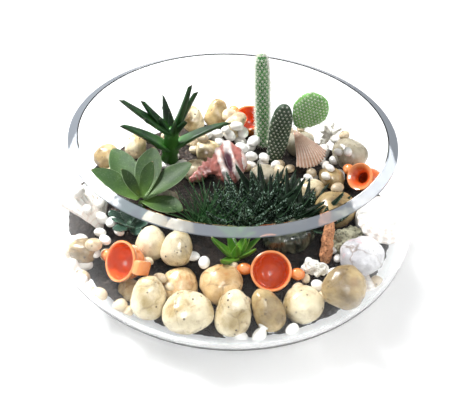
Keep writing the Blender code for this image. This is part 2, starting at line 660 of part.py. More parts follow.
def push_from_glass(points):
    """The move that brings every point inside the bowl's inner face, with GLASS_GAP to spare."""
    radius = np.hypot(points[:, 0], points[:, 1])
    height = points[:, 2] - WIDEST_Z
    across = BOWL_RADIUS - WALL - GLASS_GAP
    reach = np.where(height > 0, UPPER_REACH, LOWER_REACH) - WALL - GLASS_GAP
    level = (radius / across) ** 2 + (height / reach) ** 2 - 1
    slope = [points[:, 0] / across ** 2, points[:, 1] / across ** 2, height / reach ** 2]
    slope = np.stack(slope, axis=1) * 2
    steep = np.linalg.norm(slope, axis=1)
    depth = level / steep
    worst = int(np.argmax(depth))
    if depth[worst] <= 0:
        return np.zeros(3)
    return -slope[worst] / steep[worst] * depth[worst]


def settle(stones, props, plants):
    """Nudge pieces until none overlaps a neighbour or the glass. Gives every piece's corners.

    Plants stay where they are, shells and pots give way to plants, and stones give way to everything."""
    bpy.context.view_layer.update()
    graph = bpy.context.evaluated_depsgraph_get()
    pieces = stones + props + plants
    ranks = [0] * len(stones) + [1] * len(props) + [2] * len(plants)
    shapes = [hull_points(obj, graph) for obj in pieces]
    starts = [shape.mean(axis=0) for shape in shapes]
    reaches = [np.linalg.norm(shape - start, axis=1).max() for shape, start in zip(shapes, starts)]
    for _ in range(SETTLE_ROUNDS):
        moved = 0.0
        middles = np.array([shape.mean(axis=0) for shape in shapes])
        for i in range(len(stones) + len(props)):
            move = push_from_glass(shapes[i])
            for j, other in enumerate(shapes):
                apart = np.linalg.norm(middles[i] - middles[j])
                if j == i or ranks[j] < ranks[i] or apart > reaches[i] + reaches[j]:
                    continue
                axis, depth = push_apart(shapes[i], other)
                if depth > 0:
                    move = move + axis * depth * (0.5 if ranks[j] == ranks[i] else 1.0)
            shapes[i] = shapes[i] + move
            moved = max(moved, float(np.linalg.norm(move)))
        if moved < 0.02 * MM:
            break
    for obj, shape, start in zip(stones + props, shapes, starts):
        obj.matrix_world = Matrix.Translation(Vector(shape.mean(axis=0) - start)) @ obj.matrix_world
    return shapes


def soil_height(x, y):
    """Height of the soil: level at the back, falling towards the front glass, and a little uneven."""
    slope = max(0.0, (-y - SOIL_SLOPE_START) / SOIL_SLOPE_LENGTH)
    ripple = noise.noise(Vector((x, y, 0)) * 28) * SOIL_ROUGHNESS
    return SOIL_TOP - SOIL_FRONT_DROP * min(1.0, slope) ** 1.2 + ripple


def hull_mesh(name, points):
    bm = bmesh.new()
    for point in points:
        bm.verts.new(point)
    hull = bmesh.ops.convex_hull(bm, input=bm.verts)
    spare = set(hull["geom_interior"] + hull["geom_unused"])
    spare = [item for item in spare if isinstance(item, bmesh.types.BMVert)]
    bmesh.ops.delete(bm, geom=spare, context="VERTS")
    bmesh.ops.recalc_face_normals(bm, faces=bm.faces)
    mesh = bpy.data.meshes.new(name)
    bm.to_mesh(mesh)
    bm.free()
    return mesh


def build_soil(parts, shapes):
    """A bed that fills the bowl's foot, cut to the lie of the ground and dented where each piece sits."""
    top = SOIL_TOP + 8 * MM
    inset = WALL + GLASS_GAP
    top_angle = asin((top - WIDEST_Z) / (LOWER_REACH - inset))
    floor_angle = -asin((WIDEST_Z - FLOOR_THICK - GAP) / (LOWER_REACH - inset))
    profile = [(0, top)] + arc_points(top_angle, floor_angle, 6, inset) + [(0, FLOOR_THICK + GAP)]
    soil = turned_object("soil", profile, BOWL_STEPS, "soil", Matrix(), parts)

    cutters = new_collection("soil_cutters")
    bm = bmesh.new()
    bmesh.ops.create_grid(bm, x_segments=12, y_segments=12, size=BOWL_RADIUS * 1.05)
    for vert in bm.verts:
        vert.co.z = soil_height(vert.co.x, vert.co.y)
    raised = bmesh.ops.extrude_face_region(bm, geom=list(bm.faces))
    for vert in [item for item in raised["geom"] if isinstance(item, bmesh.types.BMVert)]:
        vert.co.z = top + 20 * MM
    bmesh.ops.recalc_face_normals(bm, faces=bm.faces)
    air = bpy.data.meshes.new("air")
    bm.to_mesh(air)
    bm.free()
    add_helper("air", air, Matrix(), cutters)
    for points in shapes:
        if points[:, 2].min() > SOIL_TOP + SOIL_ROUGHNESS:
            continue
        seat = add_helper("seat", hull_mesh("seat", points), Matrix(), cutters)
        grow = seat.modifiers.new("clearance", "DISPLACE")
        grow.mid_level = 0
        grow.strength = 1.6 * GAP
    boolean(soil, "DIFFERENCE", cutters)
    return soil


def build():
    clear_scene()
    parts = new_collection("glass_terrarium")
    build_bowl(parts)
    props = build_pots(parts) + build_shells(parts)
    corals = build_corals(parts)
    plants = build_conch(parts) + corals[3:] + build_rosette(parts) + build_aloe(parts)
    plants += build_tufts(parts) + build_cacti(parts)
    stones = build_stones(parts)
    shapes = settle(stones, props + corals[:3], plants)
    build_soil(parts, shapes)


build()
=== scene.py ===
"""A round glass bowl planted with succulents and cacti among river stones, shells and little clay pots."""

import json
import random
from math import asin, cos, pi, radians, sin, sqrt

import bpy
from mathutils import Matrix, Vector, noise

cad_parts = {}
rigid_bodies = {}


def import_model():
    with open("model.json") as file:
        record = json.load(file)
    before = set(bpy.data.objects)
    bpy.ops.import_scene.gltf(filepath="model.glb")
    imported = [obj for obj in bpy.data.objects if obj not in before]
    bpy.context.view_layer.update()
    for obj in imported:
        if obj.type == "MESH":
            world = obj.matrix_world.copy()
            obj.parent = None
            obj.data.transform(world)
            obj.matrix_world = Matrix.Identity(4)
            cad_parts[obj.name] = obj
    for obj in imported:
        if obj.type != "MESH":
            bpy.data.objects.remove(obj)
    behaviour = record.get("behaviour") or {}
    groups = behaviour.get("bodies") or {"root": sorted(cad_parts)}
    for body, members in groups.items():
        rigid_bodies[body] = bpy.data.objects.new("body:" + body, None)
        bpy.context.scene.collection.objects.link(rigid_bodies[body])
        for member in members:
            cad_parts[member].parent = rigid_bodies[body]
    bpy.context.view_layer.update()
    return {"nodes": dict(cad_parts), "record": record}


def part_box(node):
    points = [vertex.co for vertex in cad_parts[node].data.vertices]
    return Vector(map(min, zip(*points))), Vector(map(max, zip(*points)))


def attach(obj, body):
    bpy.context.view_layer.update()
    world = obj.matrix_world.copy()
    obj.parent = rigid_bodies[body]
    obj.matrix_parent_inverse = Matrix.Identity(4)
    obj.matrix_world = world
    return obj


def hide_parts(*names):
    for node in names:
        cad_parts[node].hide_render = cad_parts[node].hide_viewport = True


MM = 0.001
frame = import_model()
nodes = frame["nodes"]
slots = {part["node"]: part["material_slot"] for part in frame["record"]["subparts"]}

# The bowl, in millimetres: its outline is two quarter ellipses that meet at its widest line.
BOWL_RADIUS = 140
WIDEST_Z = 52.5
UPPER_REACH = 124.6
LOWER_REACH = 58.6
WALL = 4.6
FLOOR_THICK = 7
RIM_HEIGHT = 123
RIM_DROP = 2.5
ARRIS = 0.8  # the cut edge is rounded off inside by this, and outside by half of it


# Working on a mesh ---------------------------------------------------------------------------------------


def pick(obj):
    """Make this the only selected object, and the one the operators work on."""
    bpy.ops.object.select_all(action="DESELECT")
    obj.select_set(True)
    bpy.context.view_layer.objects.active = obj


def open_mesh(obj):
    pick(obj)
    bpy.ops.object.mode_set(mode="EDIT")
    bpy.ops.mesh.select_all(action="SELECT")


def close_mesh():
    bpy.ops.object.mode_set(mode="OBJECT")


def apply_modifier(obj, kind, **settings):
    modifier = obj.modifiers.new(kind.lower(), kind)
    for setting, value in settings.items():
        setattr(modifier, setting, value)
    pick(obj)
    bpy.ops.object.modifier_apply(modifier=modifier.name)


def subdivide(obj, levels):
    apply_modifier(obj, "SUBSURF", levels=levels, render_levels=levels)


def roughen(obj, name, size, strength, contrast=1.0):
    """Push the surface in and out by a cloudy pattern of this size, in metres."""
    clouds = bpy.data.textures.new(name, "CLOUDS")
    clouds.noise_scale = size
    clouds.noise_depth = 3
    clouds.contrast = contrast
    apply_modifier(obj, "DISPLACE", texture=clouds, texture_coords="LOCAL", strength=strength, mid_level=0.5)


def own_copy(node, name):
    """A CAD solid's shape as a piece of its own, with its loose triangles joined into quads."""
    obj = bpy.data.objects.new(name, nodes[node].data.copy())
    bpy.context.scene.collection.objects.link(obj)
    obj.data.materials.clear()
    open_mesh(obj)
    bpy.ops.mesh.remove_doubles(threshold=0.00002)
    bpy.ops.mesh.tris_convert_to_quads(face_threshold=radians(50), shape_threshold=radians(60))
    close_mesh()
    return obj


def swell(obj, share):
    """Grow a piece about its own middle."""
    middle = sum((vert.co for vert in obj.data.vertices), Vector()) / len(obj.data.vertices)
    obj.data.transform(Matrix.Translation(middle) @ Matrix.Scale(share, 4) @ Matrix.Translation(-middle))


def inner_radius(height, spare):
    """How far out a point at this height may lie and still be this far clear of the glass, in metres."""
    reach = (UPPER_REACH if height > WIDEST_Z * MM else LOWER_REACH) * MM - WALL * MM - spare
    across = (BOWL_RADIUS - WALL) * MM - spare
    return across * sqrt(max(0.0, 1 - ((height - WIDEST_Z * MM) / reach) ** 2))


def keep_inside(obj, spare=0.5 * MM):
    """Draw back any point that reaches into the wall, which flattens a piece where it meets the glass."""
    for vert in obj.data.vertices:
        if vert.co.z > RIM_HEIGHT * MM:
            continue
        limit = inner_radius(vert.co.z, spare)
        radius = vert.co.xy.length
        if radius > limit:
            vert.co.x *= limit / radius
            vert.co.y *= limit / radius


def join(name, objects):
    """One object from several, which are used up."""
    pick(objects[0])
    for obj in objects:
        obj.select_set(True)
    if len(objects) > 1:
        bpy.ops.object.join()
    whole = bpy.context.view_layer.objects.active
    whole.name = name
    whole.data.name = name
    return whole


def copy_of(obj, name, matrix):
    """Another of the same piece, moved by a matrix, with a mesh of its own."""
    twin = bpy.data.objects.new(name, obj.data.copy())
    twin.data.transform(matrix)
    bpy.context.scene.collection.objects.link(twin)
    return twin


def discard(*objects):
    for obj in objects:
        bpy.data.objects.remove(obj)


def finish(obj, materials, slot, replaced=(), sharp=None):
    """Dress a finished piece, shade it smooth (up to the sharp angle), and hide the CAD parts it stands in
    for.
    """
    if slot != "clear_glass":
        keep_inside(obj)
    obj.data.materials.clear()
    for material in materials if isinstance(materials, (list, tuple)) else [materials]:
        obj.data.materials.append(material)
    pick(obj)
    if sharp:
        bpy.ops.object.shade_smooth_by_angle(angle=radians(sharp))
    else:
        bpy.ops.object.shade_smooth()
    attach(obj, "root")
    if replaced:
        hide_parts(*replaced)
    return obj


def millimetres(point):
    return Vector(point) * MM


def along_x(direction, top=(0, 0, 1)):
    """Rotation that lays local +X along a direction, with local +Z as near to top as it can be."""
    ahead = Vector(direction).normalized()
    across = Vector(top).cross(ahead)
    if across.length < 0.05:
        across = Vector((0, 1, 0)).cross(ahead)
    across.normalize()
    return Matrix((ahead, across, ahead.cross(across))).transposed().to_4x4()


def along_z(direction, turn=0.0):
    """Rotation that stands local +Z along a direction, turned about it first by this many degrees."""
    facing = Vector(direction).to_track_quat("Z", "Y").to_matrix().to_4x4()
    return facing @ Matrix.Rotation(radians(turn), 4, "Z")


def heading(turn, rise):
    """Unit vector at a compass turn and a rise above level, in degrees."""
    return Vector((cos(radians(turn)) * cos(radians(rise)), sin(radians(turn)) * cos(radians(rise)),
                   sin(radians(rise))))


def drawn_up(name, rings, sides):
    """A turned solid: a disc drawn up ring by ring. rings are (radius, height) in millimetres, from the
    middle of the foot up the outside, over the rim and down to the inner floor."""
    radius, height = rings[0]
    bpy.ops.object.select_all(action="DESELECT")
    bpy.ops.mesh.primitive_circle_add(vertices=sides, radius=radius * MM, fill_type="NGON",
                                      location=(0, 0, height * MM))
    obj = bpy.context.object
    obj.name = obj.data.name = name
    bpy.ops.object.transform_apply(location=True, rotation=True, scale=True)
    bpy.ops.object.mode_set(mode="EDIT")
    bpy.ops.mesh.select_all(action="SELECT")
    for (near, low), (far, high) in zip(rings, rings[1:]):
        bpy.ops.mesh.extrude_region_move(TRANSFORM_OT_translate={"value": (0, 0, (high - low) * MM)})
        bpy.ops.transform.resize(value=(far / near, far / near, 1))
    bpy.ops.mesh.select_all(action="SELECT")
    bpy.ops.mesh.normals_make_consistent(inside=False)
    close_mesh()
    return obj


# Laying out materials --------------------------------------------------------------------------------------


def add_node(tree, kind, settings=None, **inputs):
    node = tree.nodes.new("ShaderNode" + kind)
    for setting, value in (settings or {}).items():
        setattr(node, setting, value)
    for label, value in inputs.items():
        put(tree, node.inputs[label.replace("_", " ")], value)
    return node


def put(tree, socket, value):
    """Link a socket to another, or set its value."""
    if isinstance(value, bpy.types.NodeSocket):
        tree.links.new(value, socket)
    elif isinstance(value, tuple) and len(value) == 3 and socket.type == "RGBA":
        socket.default_value = (*value, 1)
    else:
        socket.default_value = value


def blend(tree, share, first, second, how="MIX"):
    node = tree.nodes.new("ShaderNodeMix")
    node.data_type = "RGBA"
    node.blend_type = how
    for index, value in ((0, share), (6, first), (7, second)):
        put(tree, node.inputs[index], value)
    return node.outputs[2]


def sums(tree, operation, first, second=0.5, third=None):
    node = add_node(tree, "Math", {"operation": operation})
    put(tree, node.inputs[0], first)
    put(tree, node.inputs[1], second)
    if third is not None:
        put(tree, node.inputs[2], third)
    return node.outputs[0]


def times(tree, first, second):
    return sums(tree, "MULTIPLY", first, second)


def rest(tree, share):
    """What is left of 1 when this share is taken from it."""
    return sums(tree, "SUBTRACT", 1.0, share)


def fade(tree, value, low, high, top=1.0):
    """0 below low, top above high, and a soft step between."""
    node = add_node(tree, "MapRange", {"interpolation_type": "SMOOTHSTEP"}, Value=value)
    for label, number in (("From Min", low), ("From Max", high), ("To Min", 0.0), ("To Max", top)):
        put(tree, node.inputs[label], number)
    return node.outputs[0]


def on_piece(tree):
    """Where a point lies on its piece, in metres."""
    return add_node(tree, "TexCoord").outputs["Object"]


def marked(tree, label):
    """The value that mark_point or a model gave each point of the piece under this name."""
    return add_node(tree, "Attribute", {"attribute_name": label}).outputs["Fac"]


def cloud(tree, place, scale, detail=3.0, roughness=0.55, distortion=0.0):
    node = add_node(tree, "TexNoise", None, Vector=place, Scale=scale, Detail=detail, Roughness=roughness,
                    Distortion=distortion)
    return node.outputs["Fac"]


def cells(tree, place, scale, feature="F1", output="Distance"):
    node = add_node(tree, "TexVoronoi", {"feature": feature}, Vector=place, Scale=scale)
    return node.outputs[output]


def new_effect(name, inputs, outputs):
    """An empty shader node group with named sockets. Gives its tree, its inputs and its output node."""
    tree = bpy.data.node_groups.new(name, "ShaderNodeTree")
    kinds = {"colour": "NodeSocketColor", "value": "NodeSocketFloat"}
    for label, kind in inputs:
        tree.interface.new_socket(label, in_out="INPUT", socket_type=kinds[kind])
    for label, kind in outputs:
        tree.interface.new_socket(label, in_out="OUTPUT", socket_type=kinds[kind])
    return tree, tree.nodes.new("NodeGroupInput").outputs, tree.nodes.new("NodeGroupOutput").inputs


def use_effect(tree, effect, **inputs):
    node = tree.nodes.new("ShaderNodeGroup")
    node.node_tree = effect
    for label, value in inputs.items():
        put(tree, node.inputs[label.replace("_", " ")], value)
    return node.outputs


def new_material(name, **settings):
    """A material with its Principled shader's plain values set. Gives it, its tree and the shader."""
    material = bpy.data.materials.new(name)
    material.use_nodes = True
    shader = material.node_tree.nodes["Principled BSDF"]
    for label, value in settings.items():
        put(material.node_tree, shader.inputs[label.replace("_", " ")], value)
    return material, material.node_tree, shader


def raise_surface(tree, shader, height, distance, strength=1.0):
    bump = add_node(tree, "Bump", None, Height=height, Distance=distance, Strength=strength)
    tree.links.new(bump.outputs[0], shader.inputs["Normal"])


# Shared effects --------------------------------------------------------------------------------------------


def river_wear_effect():
    """Cloudy tone, brown stains, fine cracks, pits and dark specks of a river stone."""
    tree, given, out = new_effect(
        "river_wear",
        (("Body", "colour"), ("Shade", "colour"), ("Stain", "colour"), ("Stain Amount", "value"),
         ("Crack Amount", "value"), ("Speck Amount", "value")),
        (("Color", "colour"), ("Roughness", "value"), ("Height", "value")))
    place = on_piece(tree)
    broad = cloud(tree, place, 42.0, 3.0)
    grain = cloud(tree, place, 520.0, 3.0, 0.7)
    tone = blend(tree, fade(tree, broad, 0.38, 0.68), given["Body"], given["Shade"])
    tone = blend(tree, fade(tree, grain, 0.45, 0.75, 0.22), tone, given["Shade"], "MULTIPLY")
    patches = fade(tree, cloud(tree, place, 58.0, 5.0, 0.62, 1.4), 0.54, 0.70)
    tone = blend(tree, times(tree, patches, given["Stain Amount"]), tone, given["Stain"])
    warped = add_node(tree, "VectorMath", {"operation": "ADD"})
    put(tree, warped.inputs[0], place)
    drift = add_node(tree, "TexNoise", None, Vector=place, Scale=70.0, Detail=2.0)
    shrunk = add_node(tree, "VectorMath", {"operation": "SCALE"}, Scale=0.012)
    put(tree, shrunk.inputs[0], drift.outputs["Color"])
    put(tree, warped.inputs[1], shrunk.outputs[0])
    seams = cells(tree, warped.outputs[0], 52.0, "DISTANCE_TO_EDGE")
    seams = rest(tree, fade(tree, seams, 0.0, 0.045))
    seams = times(tree, seams, fade(tree, broad, 0.42, 0.6))
    seams = times(tree, seams, given["Crack Amount"])
    tone = blend(tree, seams, tone, (0.16, 0.09, 0.04))
    spots = add_node(tree, "TexVoronoi", {"feature": "F1"}, Vector=place, Scale=230.0)
    near = rest(tree, fade(tree, spots.outputs["Distance"], 0.10, 0.24))
    few = fade(tree, spots.outputs["Color"], 0.60, 0.66)
    spots = times(tree, times(tree, near, few), given["Speck Amount"])
    tone = blend(tree, spots, tone, (0.07, 0.04, 0.02))
    put(tree, out["Color"], tone)
    put(tree, out["Roughness"], fade(tree, cloud(tree, place, 160.0, 3.0), 0.2, 0.8, 0.62))
    height = sums(tree, "MULTIPLY_ADD", grain, 0.25, cloud(tree, place, 110.0, 4.0))
    height = sums(tree, "MULTIPLY_ADD", sums(tree, "ADD", seams, spots), -0.5, height)
    put(tree, out["Height"], height)
    return tree


def leaf_skin_effect():
    """A fleshy leaf: paler foot, darker blade, a thin margin and a tinted tip, with faint streaks."""
    tree, given, out = new_effect(
        "leaf_skin",
        (("Foot", "colour"), ("Blade", "colour"), ("Margin", "colour"), ("Tip", "colour"),
         ("Margin Width", "value"), ("Tip Length", "value")),
        (("Color", "colour"), ("Height", "value")))
    place = on_piece(tree)
    along = marked(tree, "along")
    across = marked(tree, "across")
    mottle = cloud(tree, place, 130.0, 4.0)
    tone = blend(tree, fade(tree, along, 0.0, 0.55), given["Foot"], given["Blade"])
    tone = blend(tree, fade(tree, mottle, 0.35, 0.75, 0.35), tone, given["Foot"])
    streak = cloud(tree, place, 700.0, 2.0)
    tone = blend(tree, fade(tree, streak, 0.5, 0.8, 0.2), tone, given["Margin"])
    start = rest(tree, given["Margin Width"])
    rim = fade(tree, across, start, 1.0)
    tone = blend(tree, rim, tone, given["Margin"])
    start = rest(tree, given["Tip Length"])
    tone = blend(tree, fade(tree, along, start, 1.0), tone, given["Tip"])
    put(tree, out["Color"], tone)
    put(tree, out["Height"], sums(tree, "MULTIPLY_ADD", streak, 0.3, mottle))
    return tree


def growth_effect():
    """Bands of growth across a shell in a wash of colour, with paler rib crests that fade towards its hinge;
    the pale crests are partly the ribs' own colour and partly painted highlight.
    """
    tree, given, out = new_effect(
        "shell_growth", (("Body", "colour"), ("Rib", "colour"), ("Wash", "colour"), ("Bands", "value")),
        (("Color", "colour"), ("Height", "value")))
    place = on_piece(tree)
    along = marked(tree, "along")
    across = marked(tree, "across")
    wobble = cloud(tree, place, 90.0, 3.0)
    rings = sums(tree, "MULTIPLY_ADD", along, given["Bands"], times(tree, wobble, 1.5))
    rings = sums(tree, "SINE", times(tree, rings, 2 * pi))
    tone = blend(tree, fade(tree, rings, 0.2, 1.0, 0.35), given["Body"], given["Wash"])
    # partly painted highlight: the rib crests are painted paler, partly as their own colour
    pale_and_lit_crests = times(tree, fade(tree, across, 0.35, 0.95), fade(tree, along, 0.25, 0.8))
    tone = blend(tree, pale_and_lit_crests, tone, given["Rib"])
    tone = blend(tree, fade(tree, wobble, 0.45, 0.8, 0.4), tone, given["Wash"])
    put(tree, out["Color"], tone)
    put(tree, out["Height"], sums(tree, "MULTIPLY_ADD", rings, 0.3, wobble))
    return tree


def coral_pores_effect():
    """Small open pores in a rough, chalky skin, with painted shade darkening the pores."""
    tree, given, out = new_effect(
        "coral_pores", (("Body", "colour"), ("Pore", "colour"), ("Pore Scale", "value")),
        (("Color", "colour"), ("Height", "value")))
    place = on_piece(tree)
    pores = cells(tree, place, given["Pore Scale"])
    pits = rest(tree, fade(tree, pores, 0.15, 0.45))
    crust = cloud(tree, place, 260.0, 5.0, 0.7)
    tone = blend(tree, fade(tree, crust, 0.35, 0.7, 0.5), given["Body"], given["Pore"])
    # painted shade: the pits are painted darker
    tone = blend(tree, times(tree, pits, 0.7), tone, given["Pore"])
    put(tree, out["Color"], tone)
    put(tree, out["Height"], sums(tree, "MULTIPLY_ADD", pits, -0.8, crust))
    return tree


# Finishes --------------------------------------------------------------------------------------------------


def stone_finish(name, effect, body, shade, stain, stains, cracks, specks, gloss=0.25):
    material, tree, shader = new_material(name, Metallic=0.0, Coat_Weight=gloss, Coat_Roughness=0.22)
    worn = use_effect(tree, effect, Body=body, Shade=shade, Stain=stain, Stain_Amount=stains,
                      Crack_Amount=cracks, Speck_Amount=specks)
    tree.links.new(worn["Color"], shader.inputs["Base Color"])
    tree.links.new(worn["Roughness"], shader.inputs["Roughness"])
    raise_surface(tree, shader, worn["Height"], 0.0007, 0.8)
    return material


def leaf_finish(name, effect, foot, blade, margin, tip, rim=0.12, end=0.08, gloss=0.35, roughness=0.38):
    material, tree, shader = new_material(name, Roughness=roughness, Metallic=0.0, Coat_Weight=gloss,
                                          Coat_Roughness=0.18, Specular_IOR_Level=0.3)
    skin = use_effect(tree, effect, Foot=foot, Blade=blade, Margin=margin, Tip=tip, Margin_Width=rim,
                      Tip_Length=end)
    tree.links.new(skin["Color"], shader.inputs["Base Color"])
    raise_surface(tree, shader, skin["Height"], 0.0004, 0.5)
    return material


def banded_leaf_finish(effect):
    """Near-black green with rows of small pale warts on the leaves' backs."""
    material, tree, shader = new_material("banded_leaf_finish", Roughness=0.5, Metallic=0.0,
                                          Specular_IOR_Level=0.2)
    skin = use_effect(tree, effect, Foot=(0.02, 0.06, 0.02), Blade=(0.002, 0.010, 0.004),
                      Margin=(0.10, 0.20, 0.11), Tip=(0.02, 0.07, 0.03), Margin_Width=0.14, Tip_Length=0.08)
    place = on_piece(tree)
    warty = marked(tree, "warts")
    wart = rest(tree, fade(tree, cells(tree, place, 560.0), 0.22, 0.48))
    wart = times(tree, wart, fade(tree, warty, 0.2, 0.7))
    tone = blend(tree, times(tree, wart, 0.8), skin["Color"], (0.42, 0.60, 0.48))
    tree.links.new(tone, shader.inputs["Base Color"])
    raise_surface(tree, shader, sums(tree, "MULTIPLY_ADD", wart, 2.0, skin["Height"]), 0.0005, 0.8)
    return material


def shell_finish(name, effect, body, rib_and_highlight, wash, bands=9.0, gloss=0.3):
    material, tree, shader = new_material(name, Roughness=0.42, Metallic=0.0, Coat_Weight=gloss,
                                          Coat_Roughness=0.25)
    growth = use_effect(tree, effect, Body=body, Rib=rib_and_highlight, Wash=wash, Bands=bands)
    tree.links.new(growth["Color"], shader.inputs["Base Color"])
    raise_surface(tree, shader, growth["Height"], 0.0005, 0.6)
    return material


def coral_finish(name, effect, body, crust_tone_and_pore_shade, scale):
    material, tree, shader = new_material(name, Roughness=0.8, Metallic=0.0)
    chalk = use_effect(tree, effect, Body=body, Pore=crust_tone_and_pore_shade, Pore_Scale=scale)
    tree.links.new(chalk["Color"], shader.inputs["Base Color"])
    raise_surface(tree, shader, chalk["Height"], 0.0008, 0.9)
    return material


def conch_finish():
    """Pink and cream with deeper red in the folds, and a dark purple mouth that is painted shade."""
    material, tree, shader = new_material("conch_finish", Roughness=0.4, Metallic=0.0, Coat_Weight=0.3,
                                          Coat_Roughness=0.2)
    place = on_piece(tree)
    ridge = marked(tree, "ridge")
    stain = cloud(tree, place, 150.0, 4.0, 0.6, 0.8)
    tone = blend(tree, fade(tree, ridge, 0.25, 0.85), (0.52, 0.20, 0.17), (0.95, 0.86, 0.82))
    tone = blend(tree, fade(tree, stain, 0.42, 0.66, 0.8), tone, (0.90, 0.66, 0.60), "MULTIPLY")
    # painted shade: the sunken mouth is painted dark purple
    mouth_shade = marked(tree, "mouth_shade")
    tone = blend(tree, fade(tree, mouth_shade, 0.2, 0.9), tone, (0.09, 0.03, 0.05))
    tree.links.new(tone, shader.inputs["Base Color"])
    raise_surface(tree, shader, stain, 0.0008, 0.7)
    return material


def soil_finish():
    material, tree, shader = new_material("soil_finish", Roughness=0.95, Metallic=0.0)
    place = on_piece(tree)
    clods = cloud(tree, place, 180.0, 6.0, 0.7)
    grit = cells(tree, place, 420.0)
    tone = blend(tree, fade(tree, clods, 0.35, 0.7), (0.006, 0.004, 0.003), (0.035, 0.020, 0.013))
    pale = rest(tree, fade(tree, grit, 0.06, 0.16))
    tone = blend(tree, times(tree, pale, 0.5), tone, (0.22, 0.16, 0.11))
    tree.links.new(tone, shader.inputs["Base Color"])
    raise_surface(tree, shader, sums(tree, "MULTIPLY_ADD", grit, 0.5, clods), 0.002)
    return material


def clay_finish(name, outer, inner):
    """Fired orange clay with a thin gloss, a little mottled, with painted light making the rim's top paler
    and painted shade making the inside darker.
    """
    material, tree, shader = new_material(name, Metallic=0.0, Coat_Weight=1.0, Coat_Roughness=0.03)
    place = on_piece(tree)
    mottle = cloud(tree, place, 120.0, 4.0)
    inside = marked(tree, "inside")
    lip = marked(tree, "lip")
    # painted shade: the cup's inside takes the darker, redder inner colour
    tone = blend(tree, inside, outer, inner)
    tone = blend(tree, fade(tree, mottle, 0.3, 0.75, 0.35), tone, (0.36, 0.07, 0.02))
    # painted light: the rim's top is painted paler, where light falls on it
    tone = blend(tree, times(tree, lip, 0.6), tone, (0.95, 0.42, 0.16))
    tree.links.new(tone, shader.inputs["Base Color"])
    tree.links.new(fade(tree, mottle, 0.2, 0.9, 0.5), shader.inputs["Roughness"])
    raise_surface(tree, shader, mottle, 0.0004, 0.4)
    return material


def cactus_finish(name, body, dark_tone_and_crease_shade):
    material, tree, shader = new_material(name, Roughness=0.6, Metallic=0.0, Coat_Weight=0.05)
    place = on_piece(tree)
    mottle = cloud(tree, place, 170.0, 4.0)
    swelling = cells(tree, place, 260.0, "SMOOTH_F1")
    tone = blend(tree, fade(tree, mottle, 0.3, 0.7), body, dark_tone_and_crease_shade)
    # painted shade: the creases between swellings are painted darker
    tone = blend(tree, fade(tree, swelling, 0.1, 0.6, 0.5), tone, dark_tone_and_crease_shade)
    tree.links.new(tone, shader.inputs["Base Color"])
    raise_surface(tree, shader, sums(tree, "SUBTRACT", mottle, swelling), 0.0006, 0.6)
    return material


def bristle_finish():
    material, tree, shader = new_material("bristle_finish", Roughness=0.6, Metallic=0.0)
    place = on_piece(tree)
    patches = fade(tree, cloud(tree, place, 200.0), 0.3, 0.7)
    tone = blend(tree, patches, (0.95, 0.95, 0.88), (0.80, 0.84, 0.66))
    tree.links.new(tone, shader.inputs["Base Color"])
    return material


def glass_finish(name, tint, roughness, clearness, bend):
    """Clear glass whose shadow side lets light through to what lies inside."""
    material, tree, shader = new_material(name, Base_Color=tint, Roughness=roughness, Metallic=0.0, IOR=bend,
                                          Transmission_Weight=clearness)
    clear = add_node(tree, "BsdfTransparent", None, Color=(0.97, 0.98, 0.98))
    choice = tree.nodes.new("ShaderNodeMixShader")
    ray = add_node(tree, "LightPath").outputs["Is Shadow Ray"]
    output = tree.nodes["Material Output"]
    tree.links.new(ray, choice.inputs[0])
    tree.links.new(shader.outputs[0], choice.inputs[1])
    tree.links.new(clear.outputs[0], choice.inputs[2])
    tree.links.new(choice.outputs[0], output.inputs["Surface"])
    return material


def rock_finish():
    """Dark green slag glass: glossy, streaked and nearly black in its depth."""
    material, tree, shader = new_material("rock_finish", Roughness=0.16, Metallic=0.0, Coat_Weight=0.6,
                                          Coat_Roughness=0.05)
    place = on_piece(tree)
    stretched = add_node(tree, "Mapping", None, Vector=place, Scale=(1.0, 1.0, 0.3))
    streaks = cloud(tree, stretched.outputs[0], 120.0, 5.0, 0.6, 0.6)
    tone = blend(tree, fade(tree, streaks, 0.35, 0.7), (0.012, 0.018, 0.010), (0.14, 0.15, 0.10))
    tree.links.new(tone, shader.inputs["Base Color"])
    raise_surface(tree, shader, streaks, 0.0012, 0.6)
    return material


# The glass -------------------------------------------------------------------------------------------------


def bowl_side(first, last, count, inset):
    """Rings of the bowl's wall between two angles, inset from its outer face, as (radius, height)."""
    rings = []
    for step in range(count + 1):
        angle = first + (last - first) * step / count
        reach = (UPPER_REACH if angle > 0 else LOWER_REACH) - inset
        rings.append(((BOWL_RADIUS - inset) * cos(angle), WIDEST_Z + reach * sin(angle)))
    return rings


